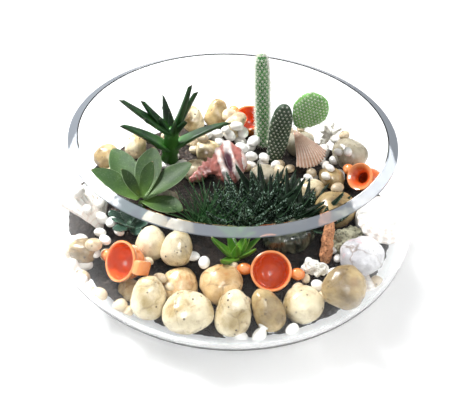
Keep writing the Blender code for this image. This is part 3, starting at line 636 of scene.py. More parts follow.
def blow_bowl(glass, cut_edge):
    """The clear bowl, with a flat cut rim that slopes outwards."""
    outer_top = asin((RIM_HEIGHT - RIM_DROP - 0.5 - WIDEST_Z) / UPPER_REACH)
    inner_top = asin((RIM_HEIGHT - 0.5 - WIDEST_Z) / (UPPER_REACH - WALL))
    foot = -asin(WIDEST_Z / LOWER_REACH)
    floor = -asin((WIDEST_Z - FLOOR_THICK) / (LOWER_REACH - WALL))
    outside = bowl_side(foot, 0, 16, 0) + bowl_side(0, outer_top, 14, 0)[1:]
    inside = bowl_side(inner_top, 0, 14, WALL) + bowl_side(0, floor, 16, WALL)[1:]
    edge = [(outside[-1][0] - ARRIS / 2, RIM_HEIGHT - RIM_DROP), (inside[0][0] + ARRIS, RIM_HEIGHT - 0.2),
            (inside[0][0] + ARRIS * 0.4, RIM_HEIGHT)]
    rings = outside + edge + inside + [(20, FLOOR_THICK), (2, FLOOR_THICK)]
    bowl = drawn_up("blown_bowl", rings, 128)
    finish(bowl, [glass, cut_edge], "clear_glass", ["glass_bowl"], sharp=25)
    for face in bowl.data.polygons:
        outer = face.center.xy.length > (inside[0][0] + ARRIS) * MM
        if outer and face.center.z > (RIM_HEIGHT - RIM_DROP - 0.4) * MM and face.normal.z > 0.5:
            face.material_index = 1
            face.use_smooth = False
    return bowl


# Soil and stones -------------------------------------------------------------------------------------------


def bed_soil(material):
    soil = own_copy("soil", "potting_soil")
    apply_modifier(soil, "REMESH", mode="VOXEL", voxel_size=0.0016, use_smooth_shade=True)
    apply_modifier(soil, "SMOOTH", factor=0.8, iterations=6)
    roughen(soil, "clods", 0.005, 0.0022)
    roughen(soil, "crumbs", 0.0014, 0.0010)
    return finish(soil, material, "soil", ["soil"])


def wear_stone(node, material, slot, lumps=0.0024, levels=3, size=1.05):
    stone = own_copy(node, "worn_" + node)
    swell(stone, size)
    subdivide(stone, levels)
    roughen(stone, node + "_lumps", 0.014, lumps)
    return finish(stone, material, slot, [node])


def lay_stones(finishes):
    for node, slot in slots.items():
        if "_stone" in node or node == "glass_rock":
            broken = node in ("marble_stone", "glass_rock", "white_stone")
            pointed = node.startswith("back_stone")
            lumps = 0.006 if broken else 0.0036 if pointed else 0.0024
            wear_stone(node, finishes.get(node, finishes[slot]), slot, lumps)


# Small pebbles: heaps, given as (x, y, count, spread, smallest, largest) in millimetres.
WHITE_HEAPS = (
    (-19, 92, 4, 10, 10, 13), (4, 94, 5, 11, 10, 14), (17, 80, 4, 6, 12, 16), (9, 71, 4, 7, 11, 15),
    (22, 62, 4, 8, 10, 14), (-4, 76, 3, 8, 10, 13), (-48, 58, 4, 9, 11, 15), (82, 78, 6, 10, 10, 14),
    (94, 58, 5, 9, 9, 12), (90, 98, 5, 11, 10, 13), (76, 38, 5, 9, 9, 13), (60, 30, 4, 8, 9, 12),
    (-108, -18, 4, 12, 10, 14), (-96, 30, 4, 14, 10, 14), (38, 44, 2, 5, 9, 11))
TAN_HEAPS = (
    (-30, 80, 4, 12, 12, 16), (48, 33, 4, 10, 11, 15), (82, 14, 2, 6, 11, 14), (104, 84, 3, 9, 11, 15),
    (-96, -50, 2, 8, 10, 14), (-90, 40, 5, 14, 10, 16), (0, 55, 4, 14, 10, 15), (60, 112, 6, 16, 10, 15),
    (-60, 100, 6, 18, 10, 16))
HEAP_TOP = 66  # no pebble of a heap lies higher than this
LOWEST_GROUND = 20
# Pebbles wedged between stones or against the glass, each (x, y, z, size).
WHITE_WEDGED = (
    (-26, -60, 47, 12), (-17, -66, 47, 12), (-33, -30, 46, 10), (-51, -2, 47, 10), (10, -115, 28, 12),
    (23, -116, 30, 14), (26, -108, 34, 11), (45, -111, 32, 12), (76, -47, 46, 9), (80, -54, 45, 8),
    (68, -66, 46, 11), (75, -69, 45, 10), (64, -78, 41, 11), (55, -86, 40, 9), (59, -60, 46, 9),
    (-111, -42, 42, 12), (-104, -64, 38, 13), (-97, -38, 46, 10), (-92, -45, 45, 11), (-83, -36, 46, 10),
    (-117, -48, 45, 13), (-112, -70, 42, 13), (-104, -81, 40, 13), (-90, -28, 48, 11), (-97, -58, 44, 10),
    (-23, 95, 50, 13), (-14, 96, 50, 12), (-3, 93, 51, 14), (9, 97, 52, 15), (19, 85, 51, 15),
    (8, 75, 50, 14), (17, 63, 50, 12), (28, 62, 50, 12), (82, 77, 50, 12), (89, 62, 50, 11), (94, 81, 51, 11))
TAN_WEDGED = (
    (4, -66, 44, 9), (-15, -93, 34, 9), (50, -82, 40, 13), (56, -72, 41, 9), (-47, -80, 44, 11),
    (14, -92, 38, 8), (-57, -66, 46, 9), (-40, -84, 40, 9), (-88, -92, 38, 14), (88, -88, 34, 12),
    (-68, -100, 30, 12), (-96, -90, 38, 14), (-73, -98, 34, 13), (-104, -74, 36, 14), (-118, -60, 44, 12),
    (4, 105, 60, 19), (-4, 112, 60, 17), (69, -85, 38, 12), (79, -79, 40, 10), (41, 55, 48, 12),
    (50, 51, 47, 11), (68, 44, 49, 11), (108, -70, 38, 13))


def pebble_model(seed, length, width, height):
    """One pebble: a ball with its sides pushed to an uneven rounded block."""
    bpy.ops.object.select_all(action="DESELECT")
    bpy.ops.mesh.primitive_uv_sphere_add(segments=12, ring_count=8, radius=0.5)
    pebble = bpy.context.object
    pebble.data.transform(Matrix.Diagonal((length * MM, width * MM, height * MM, 1)))
    for vert in pebble.data.vertices:
        lump = noise.noise(vert.co * 140 + Vector((seed * 3.1, seed, 0)))
        vert.co *= 1 + 0.22 * lump
    subdivide(pebble, 1)
    return pebble


def ground_at(x, y, ground):
    """Height of the topmost of these pieces at a point."""
    best = LOWEST_GROUND * MM
    for obj in ground:
        hit, spot, _, _ = obj.ray_cast(Vector((x, y, 300 * MM)), Vector((0, 0, -1)))
        if hit:
            best = max(best, spot.z)
    return best


def strew(name, heaps, wedged, material, slot, ground, seed):
    """Pebbles dropped in heaps, clear of one another, on the pieces that lie under them, and wedged ones."""
    dice = random.Random(seed)
    models = []
    for kind in range(5):
        models.append(pebble_model(seed + kind, 1.0, dice.uniform(0.68, 0.9), dice.uniform(0.55, 0.75)))
    laid = []
    places = []
    for x, y, count, spread, smallest, largest in heaps:
        for _ in range(count):
            for _ in range(30):
                way = dice.uniform(0, 2 * pi)
                far = spread * sqrt(dice.random())
                px, py = (x + far * cos(way)) * MM, (y + far * sin(way)) * MM
                size = dice.uniform(smallest, largest)
                pz = ground_at(px, py, ground) + size * 0.22 * MM
                clear = all((Vector((px, py, pz)) - spot).length > (size + other) * 0.42 * MM
                            for spot, other in places)
                if clear and pz < HEAP_TOP * MM and sqrt(px * px + py * py) < inner_radius(pz, size * MM / 2):
                    break
            else:
                continue
            places.append((Vector((px, py, pz)), size))
    places += [(millimetres(place), size) for *place, size in wedged]
    for place, size in places:
        turn = Matrix.Rotation(dice.uniform(0, pi), 4, "Z") @ Matrix.Rotation(dice.uniform(-0.4, 0.4), 4, "X")
        matrix = Matrix.Translation(place) @ turn @ Matrix.Scale(size, 4)
        laid.append(copy_of(dice.choice(models), name, matrix))
    discard(*models)
    return finish(join(name, laid), material, slot)


# Clay pots -------------------------------------------------------------------------------------------------

CUP_RINGS = ((0.5, -19), (6.6, -19), (7.4, -18.6), (9.0, -16.8), (11.4, -13.6), (12.9, -9.5), (13.6, -5.6),
             (13.8, -3.4), (14.4, -2.6), (14.8, -1.4), (14.6, -0.4), (13.9, 0), (13.1, -0.3), (12.6, -1.2),
             (12.3, -3.0), (12.0, -6.0), (11.2, -10.0), (9.0, -14.0), (6.0, -16.4), (0.5, -16.8))
JUG_RINGS = ((0.5, -31), (6.6, -31), (7.8, -30.4), (9.6, -27), (10.7, -22), (10.2, -16.5), (8.2, -12),
             (6.5, -9), (6.4, -6), (8.0, -3), (11.0, -1.2), (11.3, -0.5), (10.8, 0), (10.0, -0.3),
             (7.0, -2.6), (4.7, -5), (4.3, -9), (6.0, -12), (8.0, -17), (8.3, -23), (6.0, -28), (0.5, -28.6))


def standing(node, depth):
    """Where a turned clay piece stands: a matrix at its mouth with +Z out of it and +X towards a lug."""
    mesh = nodes[node].data
    sizes = {}
    for face in mesh.polygons:
        key = tuple(round(part, 2) for part in face.normal)
        area, middle, normal = sizes.get(key, (0.0, Vector(), Vector()))
        sizes[key] = (area + face.area, middle + face.center * face.area, normal + face.normal * face.area)
    area, middle, normal = max(sizes.values(), key=lambda item: item[0])
    foot, axis = middle / area, -normal.normalized()
    mouth = foot + axis * depth * MM
    arm = max((vert.co - mouth - axis * (vert.co - mouth).dot(axis) for vert in mesh.vertices),
              key=lambda reach: reach.length).normalized()
    return Matrix.Translation(mouth) @ Matrix((arm, axis.cross(arm), axis)).transposed().to_4x4()


def lug_model(slab):
    """A round knob, or a short ribbed strap where the handle is a slab."""
    bpy.ops.object.select_all(action="DESELECT")
    if slab:
        bpy.ops.mesh.primitive_cube_add(size=1, location=(0, 0, 0))
        lug = bpy.context.object
        lug.data.transform(Matrix.Diagonal((6 * MM, 10 * MM, 12 * MM, 1)))
        open_mesh(lug)
        bpy.ops.mesh.bevel(offset=1.4 * MM, segments=3, affect="EDGES")
        bpy.ops.mesh.select_all(action="DESELECT")
        close_mesh()
    else:
        bpy.ops.mesh.primitive_uv_sphere_add(segments=24, ring_count=16, radius=0.5)
        lug = bpy.context.object
        lug.data.transform(Matrix.Diagonal((12 * MM, 9 * MM, 8 * MM, 1)))
        for vert in lug.data.vertices:
            waist = 1 - 0.3 * max(0.0, -vert.co.x / (6 * MM))
            vert.co.y *= waist
            vert.co.z *= waist
    return lug


def mark_point(obj, label, rule):
    """Give every point of a piece a value from 0 to 1."""
    attribute = obj.data.attributes.new(label, "FLOAT", "POINT")
    for vert in obj.data.vertices:
        attribute.data[vert.index].value = max(0.0, min(1.0, float(rule(vert.co))))


def throw_pot(node, rings, depth, lugs, clay):
    """A clay pot turned up from its foot, with its lugs joined on below the mouth."""
    pot = drawn_up("fired_" + node, rings, 48)
    for side, out, drop, slab in lugs:
        lug = lug_model(slab)
        lug.data.transform(Matrix.Translation((side * out * MM, 0, -drop * MM))
                           @ Matrix.Rotation(0 if side > 0 else pi, 4, "Z"))
        apply_modifier(pot, "BOOLEAN", operation="UNION", object=lug)
        discard(lug)
    widest = max(radius for radius, _ in rings)
    inner = rings[rings.index(max(rings, key=lambda ring: ring[1])):]

    def inside(point):
        radius = point.xy.length / MM
        wall = next((r for r, z in inner if z <= point.z / MM), inner[-1][0])
        return radius < wall + 0.35 and point.z / MM > inner[-1][1] - 0.3

    # painted shade: the cup's inside, marked here, is painted darker by the clay finish
    mark_point(pot, "inside", inside)
    # painted light: the rim's top, marked here, is painted paler by the clay finish
    mark_point(pot, "lip", lambda point: point.z > -0.9 * MM and point.xy.length > widest * 0.8 * MM)
    pot.data.transform(standing(node, depth))
    return finish(pot, clay, "terracotta", [node], sharp=40)


def throw_pots(clay):
    knobs = ((1, 18.4, 4.2, False), (-1, 18.4, 4.2, False))
    throw_pot("front_pot", CUP_RINGS, 19, knobs, clay)
    throw_pot("back_pot", CUP_RINGS, 19, knobs, clay)
    throw_pot("left_pot", CUP_RINGS, 19, ((-1, 17.4, 5.5, True), (1, 18.0, 4.6, False)), clay)
    throw_pot("jug", JUG_RINGS, 31, ((1, 13.2, 4.2, False),), clay)


# Leaves ----------------------------------------------------------------------------------------------------


def leaf_outline(foot, swelling, widest, taper, blunt, steps, crowd=1.4):
    """(distance along, share of the full width) down a leaf, closer together towards its tip."""
    outline = []
    for step in range(steps):
        t = 0.97 * (1 - (1 - step / (steps - 1)) ** crowd)
        if t < widest:
            share = foot + (1 - foot) * sin(pi / 2 * t / widest) ** swelling
        else:
            share = (1 - ((t - widest) / (1 - widest)) ** taper) ** blunt
        outline.append((t, share))
    return outline


def leaf_model(name, length, width, thick, outline, channel=0.12, curl=0.0, sides=12, keel=0.0, warts=0):
    """A leaf lying along +X from the origin, upper face +Z: a flat ring drawn out and pulled to its outline.

    channel lifts its margins, keel deepens its back, curl bends it upwards by that many degrees, and warts is
    how much of them its upper face carries."""
    length, width, thick = length * MM, width * MM, thick * MM
    share = outline[0][1]
    bpy.ops.object.select_all(action="DESELECT")
    bpy.ops.mesh.primitive_circle_add(vertices=sides, radius=0.5, fill_type="NGON", rotation=(0, pi / 2, 0))
    leaf = bpy.context.object
    leaf.name = leaf.data.name = name
    bpy.ops.object.transform_apply(location=True, rotation=True, scale=True)
    leaf.data.transform(Matrix.Diagonal((1, width * share, thick * share, 1)))
    bpy.ops.object.mode_set(mode="EDIT")
    bpy.ops.mesh.select_all(action="SELECT")
    for (near, before), (far, after) in zip(outline, outline[1:]):
        bpy.ops.mesh.extrude_region_move(TRANSFORM_OT_translate={"value": ((far - near) * length, 0, 0)})
        deeper = (0.35 + 0.65 * after) / (0.35 + 0.65 * before)
        bpy.ops.transform.resize(value=(1, after / before, deeper))
    bpy.ops.transform.translate(value=((1 - outline[-1][0]) * length, 0, 0))
    bpy.ops.mesh.merge(type="CENTER")
    bpy.ops.mesh.select_all(action="SELECT")
    bpy.ops.mesh.normals_make_consistent(inside=False)
    close_mesh()

    half = {round(t * length, 6): s * width / 2 for t, s in outline}
    marks = [leaf.data.attributes.new(label, "FLOAT", "POINT") for label in ("along", "across", "warts")]
    bend = radians(curl) or 1e-6
    run = length * (bend / 2) / sin(bend / 2) / bend
    for vert in leaf.data.vertices:
        t = vert.co.x / length
        reach = half.get(round(vert.co.x, 6), width)
        across = min(1.0, abs(vert.co.y) / max(reach, 1e-6))
        for mark, value in zip(marks, (t, across, 1.0 if vert.co.z < 0 else warts)):
            mark.data[vert.index].value = value
        lift = channel * width * across ** 2 * min(1.0, reach / (width / 2))
        if vert.co.z < 0:
            lift -= keel * thick * (1 - across)
        angle = bend * (t - 0.5)
        height = vert.co.z + lift
        vert.co = Vector(((sin(angle) + sin(bend / 2)) * run - sin(angle) * height, vert.co.y,
                          (cos(bend / 2) - cos(angle)) * run + cos(angle) * height))
    return leaf


def set_leaf(model, name, start, way, size=1.0, wide=1.0, top=(0, 0, 1), twist=0.0):
    matrix = Matrix.Translation(start) @ along_x(way, top) @ Matrix.Rotation(radians(twist), 4, "X")
    return copy_of(model, name, matrix @ Matrix.Diagonal((size, wide, wide, 1)))


# The rosette: its middle, and each leaf's tip from there, width and curl.
ROSETTE_AT = (-69, -12, 57)
ROSETTE_LEAVES = {
    "rosette_leaf_left": ((-39, 10, 21), 21, 14),
    "rosette_leaf_back_left": ((-28, 44, 18), 22, 14),
    "rosette_leaf_back": ((6, 42, 22), 21, 14),
    "rosette_leaf_right": ((38, 27, 19), 21, 14),
    "rosette_leaf_front": ((34, -12, 2), 20, 10),
    "rosette_leaf_inner_left": ((-15, 7, 25), 11, 12),
    "rosette_leaf_inner_right": ((9, 12, 30), 13, 20),
}


def grow_rosette(material):
    """Broad pointed leaves round a short stem, with two smaller young ones standing up in the middle."""
    middle = millimetres(ROSETTE_AT)
    for node, (offset, width, curl) in ROSETTE_LEAVES.items():
        reach = millimetres(offset)
        young = "inner" in node
        start = middle + millimetres((0, 0, 2.4 if young else 0.4)) + reach.normalized() * 1.5 * MM
        way = middle + reach - start
        outline = leaf_outline(0.36, 1.25, 0.60, 1.7, 0.85, 14, 1.5)
        model = leaf_model("leaf", way.length / MM, width + 1, 4.2, outline, 0.17, curl, 16)
        leaf = set_leaf(model, "grown_" + node, start, way)
        discard(model)
        subdivide(leaf, 1)
        finish(leaf, material, "rosette_green", [node])
    stem = own_copy("rosette_stem", "grown_rosette_stem")
    subdivide(stem, 2)
    finish(stem, material, "rosette_green", ["rosette_stem"])


# The aloe, measured from the low corner of its box: its trunk's ends and rings of old leaf bases, and each
# leaf's foot, tip, width and curl.
ALOE_TRUNK = ((38, 10.8, 0.4), (42, 8.8, 40.4))
TRUNK_RINGS = ((5.6, 0), (7.0, 0.8), (6.2, 6), (7.6, 7.2), (6.2, 14), (7.4, 15.4), (5.8, 22), (7.0, 23.2),
               (5.6, 30), (6.6, 31.4), (4.6, 38), (2.0, 40), (0.4, 40.4))
ALOE_LEAVES = (
    ((41, 8.8, 34.4), (1, 5.8, 68.4), 12, 6),
    ((38, 8.8, 18.4), (0, 1.8, 46.4), 15, -12),
    ((41, 8.8, 35.4), (18, 11.8, 64.4), 10, 20),
    ((42, 8.8, 34.4), (57, 8.8, 82.4), 11, 8),
    ((42, 9.8, 32.4), (62, 12.8, 74.4), 10, -8),
    ((42, 7.8, 35.4), (54, 1.8, 52.4), 10, 0),
    ((39, 10.8, 15.4), (91, 18.8, 42.4), 13, -26),
    ((40, 11.8, 34.4), (33, 25.8, 62.4), 10, 0),
)


def grow_aloe(material):
    """A short trunk ringed by old leaf bases, with long channelled leaves."""
    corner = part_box("aloe")[0]
    foot, top = (corner + millimetres(end) for end in ALOE_TRUNK)
    trunk = drawn_up("aloe_trunk", TRUNK_RINGS, 20)
    roughen(trunk, "old_bark", 0.004, 0.0012)
    trunk.data.transform(Matrix.Translation(foot) @ along_z(top - foot))
    outline = leaf_outline(0.9, 1.0, 0.2, 1.3, 0.85, 16, 1.2)
    pieces = [trunk]
    for start, tip, width, curl in ALOE_LEAVES:
        start, tip = corner + millimetres(start), corner + millimetres(tip)
        model = leaf_model("leaf", (tip - start).length / MM, width, 4.2, outline, 0.16, curl, 14, keel=0.5)
        pieces.append(set_leaf(model, "aloe_leaf", start, tip - start))
        discard(model)
    for turn in range(0, 360, 90):
        model = leaf_model("leaf", 16 + turn / 60, 7, 3.4, outline, 0.2, 12, 12, keel=0.5)
        start = top + heading(turn + 20, 0) * 2 * MM - Vector((0, 0, 6 * MM))
        pieces.append(set_leaf(model, "young_leaf", start, heading(turn + 20, 66)))
        discard(model)
    return finish(join("grown_aloe", pieces), material, "aloe_green", ["aloe"])


def crowd(models, middle, count, spread, rises, sizes, dice, lean=(0, 0, 0)):
    """Leaves round one middle, a golden angle apart: the outer ones lie low and the inner ones stand up."""
    leaves = []
    for i in range(count):
        share = (i + 0.5) / count
        turn = 137.5 * i + dice.uniform(-9, 9)
        rise = rises[1] + (rises[0] - rises[1]) * sqrt(share) + dice.uniform(-6, 6)
        way = (heading(turn, rise) + Vector(lean)).normalized()
        start = middle + heading(turn, 0) * spread * sqrt(share) * MM
        size = dice.uniform(*sizes)
        leaves.append(set_leaf(dice.choice(models), "leaf", start, way, size, size * dice.uniform(0.9, 1.1),
                               twist=dice.uniform(-16, 16)))
    return leaves


def heart(place, size):
    """The short thick stem that a crowd of leaves grows from."""
    bpy.ops.object.select_all(action="DESELECT")
    bpy.ops.mesh.primitive_uv_sphere_add(segments=16, ring_count=10, radius=0.5)
    stem = bpy.context.object
    stem.data.transform(Matrix.Translation(place) @ Matrix.Diagonal((*millimetres(size), 1)))
    return stem


def tuft_floor(node, lift):
    """The middle of a tuft's box, this far above its low side."""
    low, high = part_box(node)
    return Vector(((low.x + high.x) / 2, (low.y + high.y) / 2, low.z + lift * MM))


def grow_tufts(banded, fine, fresh, toothed):
    dice = random.Random(7)
    floor = tuft_floor("banded_tuft", 8)
    outline = leaf_outline(1.0, 1.0, 0.12, 1.25, 0.8, 10, 1.2)
    models = [leaf_model("leaf", 38, 8.4, 3.6, outline, 0.10, curl, 8, keel=0.4) for curl in (20, 34, 48)]
    warty = [leaf_model("leaf", 38, 8.0, 4.0, outline, 0.06, curl, 8, keel=0.4, warts=1) for curl in (24, 40)]
    pieces = [heart(floor + millimetres((0, -12, 0)), (50, 26, 18))]
    for kinds, x, y, lift, count, lean in (
            (warty, -20, -22, 0, 24, (0.0, 0.12, 0.1)), (warty, -8, -14, 1, 18, (0.1, 0.28, 0)),
            (models, 6, -14, 2, 18, (0.2, 0.3, 0)), (models, 20, -12, 2, 18, (0.3, 0.3, 0)),
            (models, 29, -18, 1, 14, (0.35, 0.15, 0)), (models, -2, 0, 3, 12, (0.1, 0.35, 0))):
        middle = floor + millimetres((x, y, lift))
        pieces += crowd(kinds, middle, count, 7, (26, 76), (0.66, 1.05), dice, lean)
    discard(*models, *warty)
    finish(join("grown_banded_tuft", pieces), banded, "dark_leaf", ["banded_tuft"])

    floor = tuft_floor("fine_tuft", 5)
    outline = leaf_outline(1.0, 1.0, 0.1, 1.1, 0.9, 8, 1.1)
    models = [leaf_model("leaf", 36, 2.3, 1.5, outline, 0.10, curl, 6) for curl in (-14, 10, 28)]
    pieces = [heart(floor + millimetres((2, -12, 0)), (26, 16, 12))]
    for x, y, count in ((-8, -13, 30), (6, -13, 30), (0, -2, 16)):
        middle = floor + millimetres((x, y, 0))
        pieces += crowd(models, middle, count, 5, (28, 84), (0.6, 1.0), dice, (0, 0.12, 0.1))
    discard(*models)
    finish(join("grown_fine_tuft", pieces), fine, "dark_leaf", ["fine_tuft"])

    floor = tuft_floor("fresh_tuft", 2)
    outline = leaf_outline(1.0, 1.0, 0.25, 1.3, 0.85, 12, 1.2)
    models = [leaf_model("leaf", 29, 9.5, 3.2, outline, 0.18, curl, 10, keel=0.3) for curl in (-18, 14, 34)]
    pieces = [heart(floor, (9, 9, 8))]
    pieces += crowd(models, floor, 9, 3.0, (38, 84), (0.75, 1.0), dice)
    discard(*models)
    finish(join("grown_fresh_tuft", pieces), fresh, "fresh_leaf", ["fresh_tuft"])

    floor = tuft_floor("toothed_tuft", 4)
    outline = [(t, share * (1.12 if i % 2 else 0.86))
               for i, (t, share) in enumerate(leaf_outline(0.6, 1.0, 0.5, 2.0, 0.6, 17, 1.0))]
    models = [leaf_model("leaf", 20, 10.5, 2.6, outline, 0.12, curl, 10) for curl in (8, 26)]
    pieces = [heart(floor, (8, 8, 9))]
    pieces += crowd(models, floor, 11, 2.6, (14, 74), (0.7, 1.0), dice)
    discard(*models)
    finish(join("grown_toothed_tuft", pieces), toothed, "toothed_leaf", ["toothed_tuft"])


# Cacti -----------------------------------------------------------------------------------------------------


AWAY = 40 * MM  # the bristles' places are found from this far out of a pad's middle


def bristle_model():
    """A small star of stiff white bristles, standing along +Z."""
    bpy.ops.object.select_all(action="DESELECT")
    bpy.ops.mesh.primitive_cone_add(vertices=3, radius1=0.2 * MM, radius2=0, depth=3.0 * MM,
                                    location=(0, 0, 1.2 * MM), end_fill_type="NOTHING")
    spike = bpy.context.object
    bpy.ops.object.transform_apply(location=True, rotation=True, scale=True)
    spikes = [spike]
    for turn in range(0, 360, 60):
        tilt = Matrix.Rotation(radians(turn), 4, "Z") @ Matrix.Rotation(radians(52), 4, "Y")
        spikes.append(copy_of(spike, "bristle", tilt))
    bpy.ops.object.select_all(action="DESELECT")
    bpy.ops.mesh.primitive_ico_sphere_add(subdivisions=1, radius=0.5 * MM)
    spikes.append(bpy.context.object)
    return join("bristle_star", spikes)


def cactus_pad(node, spacing, around, skin, bristles, model, size):
    """A pad with its bristle stars in slanting rows; around is how many go round it, or 0 for a flat pad."""
    pad = own_copy(node, "grown_" + node)
    subdivide(pad, 2)
    roughen(pad, node + "_swellings", 0.006, 0.0010)
    heights = sorted(vert.co.z for vert in nodes[node].data.vertices)
    lowest = [vert.co for vert in nodes[node].data.vertices if vert.co.z < heights[0] + 1.5 * MM]
    foot = sum(lowest, Vector()) / len(lowest)
    tip = max((vert.co for vert in nodes[node].data.vertices), key=lambda point: point.z)
    axis = (tip - foot).normalized()
    front = Vector((0, -1, 0.25))
    front = (front - axis * front.dot(axis)).normalized()
    side = axis.cross(front)
    rows = int((tip - foot).length / (spacing * MM)) + 1
    bpy.context.view_layer.update()
    stars = []
    for row in range(rows + 1):
        middle = foot + axis * row * spacing * MM
        rays = []
        if around:
            for step in range(around):
                angle = 2 * pi * (step + 0.5 * (row % 2)) / around
                out = front * cos(angle) + side * sin(angle)
                rays.append((middle + out * AWAY, -out))
        else:
            for step in range(-9, 10):
                shift = side * (step + 0.5 * (row % 2)) * spacing * MM * 1.15
                rays += [(middle + shift + front * AWAY, -front), (middle + shift - front * AWAY, front)]
        for start, way in rays:
            hit, spot, normal, _ = pad.ray_cast(start, way, distance=2 * AWAY)
            if hit:
                stars.append(copy_of(model, "star", Matrix.Translation(spot) @ along_z(normal, row * 23)
                                     @ Matrix.Scale(size, 4)))
    crown = copy_of(model, "star", Matrix.Translation(tip) @ along_z(axis))
    coat = join("bristled_" + node, stars + [crown])
    finish(coat, bristles, "cactus_green")
    return finish(pad, skin, slots[node], [node])


# Shells and corals -----------------------------------------------------------------------------------------


def seat(obj, node):
    """Move a piece so that its box has the same middle as the CAD node's."""
    low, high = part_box(node)
    corners = [vert.co for vert in obj.data.vertices]
    mine = [(min(c[i] for c in corners) + max(c[i] for c in corners)) / 2 for i in range(3)]
    obj.data.transform(Matrix.Translation((low + high) / 2 - Vector(mine)))


def fan_shell(node, length, along, top, spread, dome, ribs, rib_height, material, slot, thick=1.3):
    """A scallop's shell: a sheet spread out from its hinge, domed, ribbed and scalloped at its edge."""
    bpy.ops.object.select_all(action="DESELECT")
    bpy.ops.mesh.primitive_grid_add(x_subdivisions=24, y_subdivisions=ribs * 6, size=2)
    shell = bpy.context.object
    shell.name = shell.data.name = "ribbed_" + node
    marks = [shell.data.attributes.new(label, "FLOAT", "POINT") for label in ("along", "across")]
    for vert in shell.data.vertices:
        v = 0.06 + 0.94 * (vert.co.x + 1) / 2
        u = vert.co.y
        crest = 0.5 + 0.5 * cos(pi * ribs * u)
        marks[0].data[vert.index].value = v
        marks[1].data[vert.index].value = crest
        angle = radians(spread) / 2 * u
        reach = length * MM * v * (1 - 0.12 * u * u + 0.03 * crest * v)
        arch = dome * MM * sin(pi * min(1, v * 0.86)) * (1 - 0.75 * u * u)
        lift = arch + rib_height * MM * v ** 1.6 * (crest - 0.5) + 0.15 * MM * sin(v * 26)
        vert.co = Vector((reach * cos(angle), reach * sin(angle) * 1.05, lift))
    apply_modifier(shell, "SOLIDIFY", thickness=thick * MM, offset=-1)
    shell.data.transform(along_x(along, top))
    seat(shell, node)
    return finish(shell, material, slot, [node])


def open_shells(peach, white):
    fan_shell("scallop_shell", 38, (19, -23, -20), (0.2, -0.68, 0.70), 50, 9, 12, 1.2, peach, "peach_shell")
    fan_shell("fan_shell", 42, (-24, 31, 22), (0.75, -0.35, 0.5), 78, 6, 11, 1.4, white, "white_shell")
    fan_shell("flat_shell", 30.3, (-18, -24, -4), (-0.5, 0.1, 0.85), 90, 4, 7, 0.4, white, "white_shell")
    fan_shell("curled_shell", 24.4, (-14, -16, -12), (-0.3, -0.6, 0.7), 110, 8, 7, 1.0, white, "white_shell")


# The conch: its point and spout, how wide it is along the way, and how flat; where its wing grows from and
# to, and how far out its flat part begins; and how far the lips rise and the mouth sinks.
CONCH_SPIRE = (-5, 53, 71)
CONCH_SPOUT = (0, 14, 54)
CONCH_WIDTHS = (1.5, 6.5, 10.5, 13.5, 15.0, 15.0, 13.0, 10.0, 6.0, 1.5)
CONCH_FLATNESS = 0.75
WING_ROOT = (-10, 40, 62)
WING_WAY = (-29, -22, -13)
WING_FROM = 12
LIP_HEIGHT = 3.0
MOUTH_DEPTH = 4.0


